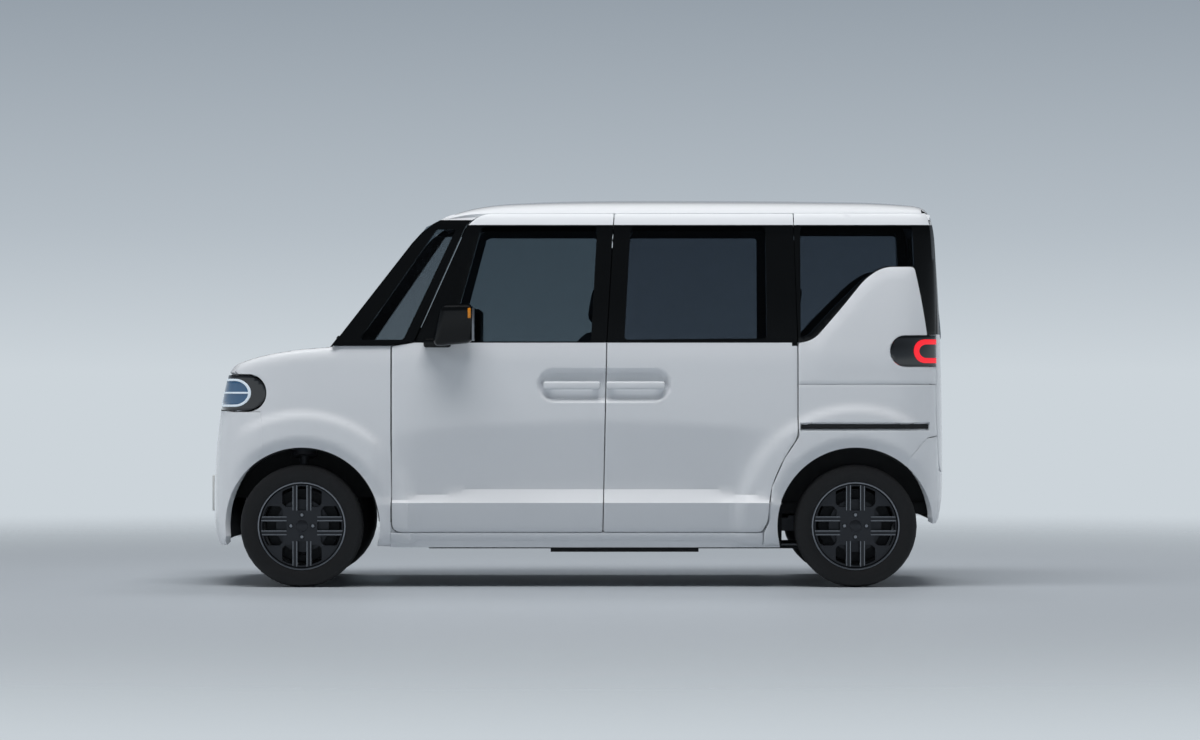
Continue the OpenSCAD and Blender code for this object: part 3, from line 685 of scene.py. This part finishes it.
FRAME_IN, FRAME_BACK, FRAME_TOP = 0.018, TAIL - 0.085, 1.70
inner = node_copy("body_sides")
for v in inner.verts:
    v.co.y -= math.copysign(FRAME_IN, v.co.y)
    v.co.x = min(v.co.x, FRAME_BACK)
    v.co.z = min(v.co.z, FRAME_TOP)
for z in (BELT, GLASS_TOP + .03):
    cut(inner, 2, z)
for f in inner.faces:
    c = f.calc_center_median()
    arch = min(math.hypot(c.x - x, c.z - WHEEL_Z) for x in (FRONT_X, REAR_X)) < ARCH_R + .03
    f.material_index = 2 if arch else 1 if BELT < c.z < GLASS_TOP + .03 else 0
pillars = node_copy("body_sides")
keep(pillars, 2, COWL + 0.004, True)
keep(pillars, 2, 1.672, False)
keep(pillars, 0, FRONT_X + 0.84, False)
to_object("inner_frame", [inner, slot(pillars, 1)], [PAINT, BLACK, UNDER], "body", ["body_sides"],
          20)

# %% [markdown]
# ## Nose: fenders, hood and front bumper
# The fender's upper edge follows the hood's side edge over the top of the car, so its outline is
# read off the skin there. Its rear edge stops short of the door, which turns close beside it.

# %% Fenders
HOOD_REAR, HOOD_Y, HOOD_Z, BUMPER_REAR = NOSE + 0.541, HALF_W - 0.098, .9745, FRONT_X - 0.1892
HEAD_LAMP_Z = .884
hinge_x = DOOR_FRONT - 0.004
hood_edge = HOOD_Y + SEAM_W


def front_x(y, z):
    """Nose surface at y, z of the front view."""
    return -thrown(lambda t: (-t, y, z), y, 0.3, 1.75)


corner_x = front_x(np.array([-hood_edge]), np.array([HOOD_Z - .003]))[0]
fender = np.concatenate([
    nose_line(arc(FRONT_X, WHEEL_Z, ARCH_R, 122, -15, 70)),
    nose_line(path([(hinge_x, .184), (hinge_x, 1.097), (NOSE + .61, 1.097)])),
    nose_line(path([(HOOD_REAR + .01, -hood_edge), (corner_x + .006, -hood_edge)], .02), on_top),
    nose_line(path([(corner_x + .02, .9695), (NOSE + .19, .9695)])),
    nose_line(arc(NOSE + .204, HEAD_LAMP_Z, .083, 90, -90, ROUND_N, .0855)),
    nose_line(path([(NOSE + .22, .7985), (BUMPER_REAR, .7985), (BUMPER_REAR, .60)]))])
fine_top = np.arange(.975, 1.097, .006)
fender = panel_mesh(fender, [], on_nose, .018, .020, .003, (), fine_top)
to_object("fender_skins", both([fender]), [PAINT, UNDER], "body", ["front_fenders"])

# %% [markdown]
# The hood is drawn from above. Its front edge is a line of one height on the nose, so it bows in
# plan as the nose does.

# %% Hood
yy = np.linspace(-HOOD_Y, HOOD_Y, 61)
hood_front = np.stack([front_x(yy, np.full_like(yy, HOOD_Z)) + .0005, yy], 1)
hood = np.concatenate([path([(HOOD_REAR, HOOD_Y), (HOOD_REAR, -HOOD_Y)]), hood_front])
to_object("hood_skin", [panel_mesh(hood, [], on_top, .022, .024, .003)], [PAINT, LINING], "hood",
          ["hood"])

# %% [markdown]
# The front bumper wraps round both corners to the wheel arches in one piece, with a hole for the
# low intake. Only its left half is drawn.

# %% Front bumper
def across(left):
    """Closed outline of an end panel from the line of its left half, bottom to top."""
    low, high = path([(0, left[0, 1]), left[0]])[:-1], path([left[-1], (0, left[-1, 1])])[1:]
    line = np.concatenate([low, left, high])
    return np.concatenate([line, line[::-1][1:-1] * np.array([-1, 1])])


left = np.concatenate([
    nose_line([(FRONT_X - .352, .187)]), nose_line(arc(FRONT_X, WHEEL_Z, ARCH_R, 188, 122, 30)),
    nose_line(path([(BUMPER_REAR, .60), (BUMPER_REAR, .7965), (NOSE + .10, .7965)]))])
hole_u = abs(end_to_wrap([[-.2505, .65]], -1)[0, 0])
intake = eased([(-hole_u, .548, .03), (hole_u, .548, .03), (hole_u, .764, .03),
                (-hole_u, .764, .03)])
to_object("front_bumper_skin", [panel_mesh(across(left), [intake], on_nose, .02, .026, .004)],
          [PAINT, UNDER], "body", ["front_bumper"])

# %% [markdown]
# ## Roof, tailgate and rear bumper
# The roof runs from the windscreen's header to the tailgate's top. At the rear it narrows with the
# body, along the line where the quarter's skin ends.

# %% Roof
ROOF_Y = 0.606
yy = np.linspace(-ROOF_Y, ROOF_Y, 49)
header = np.stack([front_x(yy * .97, np.full_like(yy, 1.668)), yy], 1)
xs = np.linspace(TAIL - .32, TAIL - .121, 14)
ys = np.minimum(ROOF_Y, -on_side(xs, np.full_like(xs, GUTTER + .0025))[:, 1])
back = np.stack([xs, ys], 1)
roof = np.concatenate([header, back, path([back[-1], back[-1] * [1, -1]])[1:-1],
                       back[::-1] * [1, -1]])
to_object("roof_skin", [panel_mesh(roof, [], on_top, .03, .026, .003)], [PAINT, LINING], "body",
          ["roof"])

# %% [markdown]
# The tailgate is drawn from behind. Its upper edge is read off the roof, so that both meet in one
# line, and its dark middle carries the window.

# %% Tailgate
DARK_LOW, DARK_TOP = 1.150, 1.70
yy = np.linspace(min(.575, ys[-1]), .2, 16)
ridge = on_top(np.full_like(yy, TAIL - .117), yy)[:, 1:]
gate_half = eased([(0.2, .520, 0), *GATE, (.586, 1.690, .012), (*ridge[0], 0)])[1:]
gate_half = path(np.concatenate([gate_half, ridge[1:]]), .04)
gate = np.concatenate([gate_half, gate_half[::-1] * np.array([-1, 1])])
gate_window = dense(eased([(-.5455, 1.13, .06), (.5455, 1.13, .06), (.4705, 1.63, .06),
                           (-.4705, 1.63, .06)]), .05)
leaf = panel_mesh(gate, [gate_window], on_rear, .03, .055, .004, (),
                  [DARK_LOW, DARK_TOP, *np.arange(1.706, 1.742, .006)])
to_object("tailgate_skin", [leaf], SKIN, "tailgate", ["tailgate"], pick=banded(DARK_LOW, DARK_TOP))

# %% [markdown]
# The rear bumper is made as the front one, and reaches up beside the tailgate on both sides.

# %% Rear bumper
left = np.concatenate([
    tail_line(path([(TAIL - .06, .287), (REAR_X + .356, .287)], .02)),
    tail_line(arc(REAR_X, WHEEL_Z, ARCH_R, 2, 50, 24)),
    tail_line(path([(TAIL - .158, .600), (TAIL - .092, .676)])),
    gate_edge(.684, .53, 8), end_to_wrap([[-.55, .514]], 1)])
to_object("rear_bumper_skin", [panel_mesh(across(left), [], on_tail, .02, .026, .004)],
          [PAINT, UNDER], "body", ["rear_bumper"])

# %% [markdown]
# ## Lamps
# A headlamp is a dark pill that lies flush in the skin. Its light guide, the blue eye inside it
# and a bar across are thin pieces thrown on the same skin, each standing a little more proud.

# %% Headlamps
def stadium(x0, x1, z0, z1, n=16):
    """Pill in wrap coordinates with rounded ends."""
    r = (z1 - z0) / 2
    a = np.radians(np.linspace(-90, 90, n))
    ends = [np.stack([x1 - r + r * np.cos(a), z0 + r + r * np.sin(a)], 1),
            np.stack([x0 + r - r * np.cos(a), z1 - r - r * np.sin(a)], 1)]
    return dense(np.concatenate(ends), .03)


def thin(outline, holes, end, lift, pitch=.012):
    """Thin piece that stands proud of the skin of one end by a lift."""
    return panel_mesh(outline, holes, around(*end, lift), pitch, .004 + lift, .001)


head_back, ring_back = nose_line([(NOSE + .284, HEAD_LAMP_Z), (NOSE + .216, HEAD_LAMP_Z)])[:, 0]
head_in = end_to_wrap([[-.4245, HEAD_LAMP_Z]], -1)[0, 0]
pod = stadium(head_back, head_in, .8025, .9655)
ring = stadium(ring_back, head_in - .022, .820, .948)
eye = stadium(ring_back + .010, head_in - .032, .830, .938)
bar = path([(ring_back + .008, .880), (head_in - .030, .880)])
bar = np.concatenate([bar, bar[::-1] + np.array([0, .008])])
parts = [slot(panel_mesh(pod, [], on_nose, .014, .05, .004), 0),
         slot(thin(ring, [eye], NOSE_END, .003), 1), slot(thin(eye, [], NOSE_END, .0012), 2),
         slot(thin(bar, [], NOSE_END, .004), 1)]
to_object("headlamp_pods", both(parts), [LENS, WHITE_LIGHT, BLUE_LENS], "body", ["headlamps"])

# %% [markdown]
# A tail lamp is a pill that is cut off by the tailgate's edge, with a red guide in the form of a
# flat loop that opens towards the gate.

# %% Tail lamps
def tail_pill(back, tall, bow):
    """Pill open towards the tailgate: rounded front end, gate edge behind."""
    front = arc(back + bow, TAIL_LAMP_Z, bow, 90, 270, ROUND_N, tall)
    return np.concatenate([tail_line(front), gate_edge(TAIL_LAMP_Z - tall, TAIL_LAMP_Z + tall, 6)])


pod = tail_pill(TAIL - .266, .0695, .068)
outer, hollow = tail_pill(TAIL - .160, .054, .05), tail_pill(TAIL - .136, .031, .03)
ring = np.concatenate([outer[:ROUND_N], gate_edge(1.0195, 1.0425, 3), hollow[:ROUND_N][::-1],
                       gate_edge(1.1045, 1.1275, 3)])
parts = [panel_mesh(pod, [], on_tail, .012, .03, .003),
         slot(thin(ring, [], TAIL_END, .004, .008), 1)]
to_object("tail_lamp_pods", both(parts), [LENS, RED_LIGHT], "body", ["tail_lamps"])

# %% [markdown]
# ## Wheels
# A tyre is one section spun round the axle, with shallow grooves in its tread. The rim keeps the
# CAD mesh; bright machined lines edge its bars, and lugs and a cap fill the middle.

# %% Wheel helpers
def spun(rows, steps):
    """Ring about the Y axis from rows of radius and place along it."""
    bm = bmesh.new()
    vs = [bm.verts.new((r, w, 0)) for r, w in rows]
    es = [bm.edges.new(p) for p in zip(vs, vs[1:])]
    bmesh.ops.spin(bm, geom=vs + es, cent=(0, 0, 0), axis=(0, 1, 0), angle=2 * math.pi,
                   steps=steps, use_merge=True)
    bmesh.ops.remove_doubles(bm, verts=bm.verts[:], dist=1e-5)
    bmesh.ops.recalc_face_normals(bm, faces=bm.faces[:])
    return bm


def slab(pts, y0, y1):
    """Flat outline in the wheel plane given a thickness along Y."""
    bm = bmesh.new()
    f = bm.faces.new([bm.verts.new((x, y0, z)) for x, z in pts])
    for v in bmesh.ops.extrude_face_region(bm, geom=[f])["geom"]:
        if isinstance(v, bmesh.types.BMVert):
            v.co.y = y1
    bmesh.ops.recalc_face_normals(bm, faces=bm.faces[:])
    return bm


def turned(bm, deg):
    """Turned about the axle."""
    bmesh.ops.rotate(bm, cent=(0, 0, 0), matrix=Matrix.Rotation(math.radians(deg), 3, "Y"),
                     verts=bm.verts[:])
    return bm

# %% [markdown]
# All sizes are those of a left wheel at the origin, with its outer side towards negative y. Right
# wheels are mirrored, and then each set moves to its axle.

# %% Tyres and rim lines
RIM_R, TYRE_R = 0.210, 0.2785
tread = [(TYRE_R, -.050), (TYRE_R, -.022), (TYRE_R - .006, -.020), (TYRE_R - .006, -.014),
         (TYRE_R, -.012), (TYRE_R, .012), (TYRE_R - .006, .014), (TYRE_R - .006, .020),
         (TYRE_R, .022), (TYRE_R, .050)]
wall = [(TYRE_R - .008, .066), (TYRE_R - .022, .0755), (RIM_R + .022, .0765), (RIM_R + .006, .070),
        (RIM_R - .008, .061)]
section = [(r, -w) for r, w in wall[::-1]] + tread + wall
FACE, LINE_H, LINE_IN, LUG_R = -0.0402, .0015, .070, .050
LINES = ((.0215, .0035), (.0390, .0030))  # distance from the spoke's middle, width
WHEELS = [(end, x, side, s) for end, x in (("front", FRONT_X), ("rear", REAR_X))
          for side, s in (("left", 1), ("right", -1))]


def rim_trim():
    """Edge ring, spoke lines, lugs and cap of one wheel."""
    trim = [spun([(RIM_R - .016, -.0622), (RIM_R - .012, -.0634), (RIM_R - .010, -.0622)], 64)]
    for deg in (0, 90, 180, 270):
        for off in (-1, 1):
            for e, w in LINES:
                r1 = math.sqrt((RIM_R - .024) ** 2 - e * e)
                a, b = off * e, off * (e + w)
                line = slab([(LINE_IN, a), (r1, a), (r1, b), (LINE_IN, b)], FACE, FACE - LINE_H)
                trim.append(turned(line, deg))
        lug = spun([(0, -.044), (.007, -.044), (.008, -.034)], 12)
        bmesh.ops.translate(lug, vec=(LUG_R, 0, 0), verts=lug.verts[:])
        trim.append(turned(lug, deg))
    cap = spun([(0, -.047), (.020, -.046), (.026, -.043), (.028, -.038)], 28)
    return trim + [slot(cap, 1)]


for end, x, side, s in WHEELS:
    name = f"{end}_{side}"
    parts = [spun(section, 36), *rim_trim()]
    if s < 0:
        parts = [mirrored(bm) for bm in parts]
    for bm in parts:
        bmesh.ops.translate(bm, vec=(x, -s * WHEEL_Y, WHEEL_Z), verts=bm.verts[:])
    to_object(f"tyre_skin_{name}", parts[:1], [RUBBER], f"wheel_{name}", [f"tyre_{name}"], 40)
    to_object(f"rim_lines_{name}", parts[1:], [MACHINED, ALLOY], f"wheel_{name}")

# %% [markdown]
# Behind the spokes a dark brake plate closes the view. In front it steers with the knuckle but
# doesn't spin, as a brake's plate does.

# %% Brake plates
IRON = material("brake_iron", "2b2d30", 0.55, metal=0.4, grain=0.08, scale=60)
PLATE_IN = .044
for end, x, side, s in WHEELS:
    plate = spun([(.030, -.012), (.060, -.014), (.070, -.004), (.166, -.002), (.170, .002),
                  (.170, .010), (.030, .010)], 40)
    for v in plate.verts:
        v.co.y *= s
        v.co += Vector((x, -s * (WHEEL_Y - PLATE_IN), WHEEL_Z))
    bmesh.ops.recalc_face_normals(plate, faces=plate.faces[:])
    to_object(f"brake_plate_{end}_{side}", [plate], [IRON],
              f"knuckle_{side}" if end == "front" else "body")

# %% [markdown]
# Flat walls close the rear arches towards the cabin. The arch liners are drawn a little narrower
# than the solids, so that they stay behind the rounded ends of the body.

# %% Rear arch walls and liners
LINER_IN = .036
wall = slab(arc(0, 0, ARCH_R + .004, 172, 8, 40), -.520, -.514)
bmesh.ops.translate(wall, vec=(REAR_X, 0, WHEEL_Z), verts=wall.verts[:])
to_object("rear_arch_walls", both([wall]), [UNDER], "body")
liners = node_copy("arch_liners")
x, y, z = np.array([v.co for v in liners.verts]).T
room = -on_side(x, z)[:, 1] - LINER_IN
for v, r in zip(liners.verts, room):
    v.co.y = math.copysign(min(abs(v.co.y), r), v.co.y)
to_object("arch_liner_shells", [liners], [UNDER], "body", ["arch_liners"], 20)

# %% [markdown]
# ## Handles, mirrors and plates
# A grip is a rounded bar on two feet that bridges the recess in the doors. Each half rides on its
# own door, so the front one swings out with it.

# %% Handle grips
def rounded_box(lo, hi, r, seg=3):
    """Box with rounded edges."""
    bm = bmesh.new()
    bmesh.ops.create_cube(bm, size=1.0)
    lo, hi = Vector(lo), Vector(hi)
    bmesh.ops.scale(bm, vec=hi - lo, verts=bm.verts[:])
    bmesh.ops.translate(bm, vec=(lo + hi) / 2, verts=bm.verts[:])
    bmesh.ops.bevel(bm, geom=bm.edges[:], offset=r, segments=seg, profile=0.5, affect="EDGES",
                    material=-1)
    return bm


GRIP_LO, GRIP_HI = .900, .936
for name, x0, x1 in (("front_door", PILL_X0 + .030, B_LINE - .012),
                     ("slide_door", B_LINE + .016, PILL_X1 - .030)):
    parts = [rounded_box((x0, -HALF_W + .004, GRIP_LO), (x1, -HALF_W + .022, GRIP_HI), .008)]
    for at in (x0 + .02, x1 - .02):
        parts.append(rounded_box((at - .016, -HALF_W + .012, GRIP_LO + .006),
                                 (at + .016, -HALF_W + .045, GRIP_HI - .006), .005))
    for side, mesh in sides(joined(parts)):
        body = f"front_door_{side}" if name == "front_door" else "body"
        to_object(f"{name}_grip_{side}", [mesh], [PAINT], body)

# %% [markdown]
# A door mirror is a rounded block that tapers upwards and leans back, with a foot on the door, an
# amber strip at its outer end and the mirror face behind. A table gives the four blocks.

# %% Door mirrors
MIRROR = (  # x from the front axle, y from the body's side, z: low and high; round; segments; slot
    (.598, .786, -.150, -.004, 1.094, 1.286, .034, 5, 0),
    (.556, .680, -.040, .030, 1.090, 1.132, .012, 3, 0),
    (.760, .774, -.1515, -.140, 1.222, 1.268, .004, 2, 1),
    (.778, .7885, -.134, -.020, 1.120, 1.270, .003, 2, 2))
parts = [slot(rounded_box((FRONT_X + x0, -HALF_W + y0, z0),
                          (FRONT_X + x1, -HALF_W + y1, z1), r, n), i)
         for x0, x1, y0, y1, z0, z1, r, n, i in MIRROR]
HEAD_X, HEAD_TOP, HEAD_L, HEAD_H = FRONT_X + .786, 1.286, .188, .192
for v in parts[0].verts:
    down, front = (HEAD_TOP - v.co.z) / HEAD_H, (HEAD_X - v.co.x) / HEAD_L
    v.co.x += .040 * (1 - down) * front
    v.co.z += .018 * down * (1 - front)
    v.co.y += .018 * down
for side, mesh in sides(joined(parts)):
    to_object(f"mirror_skin_{side}", [mesh], [BLACK, AMBER, MACHINED], f"front_door_{side}",
              [f"mirror_{side}"], 40)

# %% [markdown]
# A small patch just under the skin closes the corner where roof, quarter and tailgate meet.

# %% Roof corners
patch = dense([(-.66, 1.66), (-.545, 1.66), (-.545, 1.728), (-.66, 1.728)], .01)
patch = panel_mesh(patch, [], around(*TAIL_END, -.006), .01, .012, 0)
to_object("roof_corner_patches", both([patch]), [PAINT, PAINT], "body")

# %% [markdown]
# The number plates stay blank. The rear one opens with the tailgate.

# %% Number plates
PLATE_W, PLATE_H = .165, .165
for name, x0, x1, z, body in (("front_plate", NOSE - .004, NOSE + .012, .332, "body"),
                              ("rear_plate", TAIL - .012, TAIL + .003, .693, "tailgate")):
    plate = rounded_box((x0, -PLATE_W, z), (x1, PLATE_W, z + PLATE_H), .003, 2)
    to_object(name, [plate], [PLATE], body)

# %% [markdown]
# ## Seats
# Each cushion is a rounded block cut into a grid, with its broad faces puffed up as if by filling.
# Backs lean by a shear, so that the puff stays square to the cloth. Cloth simulation would do the
# same at more cost, for seats that are seen through dark glass.

# %% Seats
def cushion(lo, hi, r, puff, lean=0.0):
    """Padded block; lean shifts x with height."""
    bm = rounded_box(lo, hi, r, 4)
    long = [e for e in bm.edges if e.calc_length() > 0.09]
    bmesh.ops.subdivide_edges(bm, edges=long, cuts=9, use_grid_fill=True)
    bm.normal_update()
    lo, hi = Vector(lo), Vector(hi)
    mid, halfs = (lo + hi) / 2, (hi - lo) / 2
    for v in bm.verts:
        n = v.normal.copy()
        axis = max(range(3), key=lambda i: abs(n[i]))
        share = 1.0
        for i in range(3):
            if i != axis:
                share *= max(1 - ((v.co[i] - mid[i]) / halfs[i]) ** 2, 0)
        v.co[axis] += math.copysign(puff * math.sqrt(share), n[axis])
    for v in bm.verts:
        v.co.x += lean * (v.co.z - lo.z)
    return bm


SEAT_W, SEAT_Y = 0.500, 0.290
w = SEAT_W / 2 - .006
for row, x, node in (("front", DOOR_FRONT + .372, "front_seats"),
                     ("rear", REAR_X - .330 - .510, "rear_seat")):
    for side, y in (("left", -SEAT_Y), ("right", SEAT_Y)):
        base = cushion((x - .084, y - w, .456), (x + .40, y + w, .576), .045, .006)
        back = cushion((x + .338, y - w, .590), (x + .438, y + w, 1.155), .045, .008, .26)
        rest = cushion((x + .522, y - .122, 1.215), (x + .585, y + .122, 1.372), .028, .006, .17)
        post = rounded_box((x + .545, y - .016, 1.13), (x + .562, y + .016, 1.23), .006, 2)
        seat = to_object(f"{row}_seat_{side}", [base, back, rest, slot(post, 1)], [CLOTH, STEEL],
                         "body", [node], 60)

# %% [markdown]
# ## Solids shown as they are
# Pieces without a new skin keep the CAD mesh and get a material.

# %% Dress the remaining solids
def dress(mat, *names):
    """Gives CAD nodes one material."""
    for name in names:
        me = NODES[name].data
        me.materials.clear()
        me.materials.append(mat)


dress(UNDER, "floor_pan", "front_frame", "fuel_tank", "engine")
dress(TRIM, "cowl", "grille", "wipers", "dashboard", "slide_rails", "steering_wheel",
      "mirror_left", "mirror_right")
dress(STEEL, "seat_frames", "front_suspension", "rear_axle", "knuckle_left", "knuckle_right")
dress(EXHAUST, "exhaust")
dress(TINTED, "side_glass", "gate_glass")
dress(CLEAR, "windscreen", "door_glass_left", "door_glass_right")
dress(CLOTH, "front_seats", "rear_seat")
dress(RUBBER, *[n for n in NODES if n.startswith("tyre_")])
dress(ALLOY, *[n for n in NODES if n.startswith("rim_")])

# %% [markdown]
# ## Stage, light and camera
# A flat pale disc is the floor. It fades out towards its rim, so there is no edge against the sky
# and no wall that hides the car from any side.

# %% Floor
FLOOR = material("pale_floor", "b0b6bc", 0.5, grain=0.02, scale=2)
tree = FLOOR.node_tree
reach = add(tree, "VectorMath", Vector=add(tree, "TexCoord").outputs["Object"])
reach.operation = "LENGTH"
fade = add(tree, "MapRange", Value=reach.outputs["Value"], From_Min=2.5, From_Max=11.0)
fade.interpolation_type = "SMOOTHSTEP"
mix = add(tree, "MixShader", Fac=fade.outputs["Result"])
tree.links.new(tree.nodes["Principled BSDF"].outputs["BSDF"], mix.inputs[1])
tree.links.new(add(tree, "BsdfTransparent").outputs["BSDF"], mix.inputs[2])
tree.links.new(mix.outputs["Shader"], tree.nodes["Material Output"].inputs["Surface"])

bm = bmesh.new()
bmesh.ops.create_circle(bm, cap_ends=True, radius=30.0, segments=96)
me = bpy.data.meshes.new("floor")
bm.to_mesh(me)
bm.free()
me.materials.append(FLOOR)
floor = bpy.data.objects.new("floor", me)
scene = bpy.context.scene
scene.collection.objects.link(floor)

# %% [markdown]
# The sky is lightest near the horizon, as behind the car in the photo. A high key light shapes the
# sides and weaker ones fill the rest; most of them are kept out of reflections, so that no bright
# panes show in the paint and glass.

# %% Sky and lights
world = bpy.data.worlds.new("studio")
scene.world = world
world.use_nodes = True
tree = world.node_tree
up = add(tree, "SeparateXYZ", Vector=add(tree, "TexCoord").outputs["Generated"]).outputs["Z"]
sky = add(tree, "ValToRGB", Fac=up)
rows = sky.color_ramp.elements
rows[0].color, rows[1].color = lin("ccd4da"), lin("565c63")
for at, colour in ((0.03, "b4bdc5"), (0.085, "929ca6"), (0.3, "4a5056")):
    rows.new(at).color = lin(colour)
tree.links.new(sky.outputs["Color"], tree.nodes["Background"].inputs["Color"])
tree.nodes["Background"].inputs["Strength"].default_value = 1.0


def lamp(name, place, size, power, mirror=True):
    """Soft rectangular light that looks at the car; it may be kept out of reflections."""
    light = bpy.data.lights.new(name, "AREA")
    light.shape, light.size, light.size_y = "RECTANGLE", *size
    light.energy = power
    o = bpy.data.objects.new(name, light)
    o.location = place
    o.rotation_euler = (BODY_MIDDLE - Vector(place)).to_track_quat("-Z", "Y").to_euler()
    o.visible_glossy = mirror
    scene.collection.objects.link(o)


lamp("key_light", (-1.0, -3.6, 10.5), (9, 4.5), 900, False)
lamp("right_fill", (1.5, 5.5, 9.0), (5, 3), 320, False)
lamp("front_fill", (-10.0, -2.0, 4.5), (3, 3), 150, False)
lamp("rear_fill", (10.0, 2.0, 5.0), (3, 3), 150, False)
lamp("roof_strip", (0.0, -1.2, 7.5), (8, 1.4), 40)

# %% [markdown]
# The camera looks square at the left side from far off, with a long lens, because the photo shows
# hardly any perspective.

# %% Camera
CAM_DIST, VIEW_W, SENSOR = 22.0, 5.64, 36.0
cam = bpy.data.cameras.new("photo_angle")
camera = bpy.data.objects.new("photo_angle", cam)
camera.location = (0.1065, -CAM_DIST, 0.988)
camera.rotation_euler = (math.pi / 2, 0, 0)
cam.sensor_width, cam.lens = SENSOR, SENSOR * CAM_DIST / VIEW_W
scene.collection.objects.link(camera)
scene.camera = camera
scene.view_settings.view_transform = "Standard"
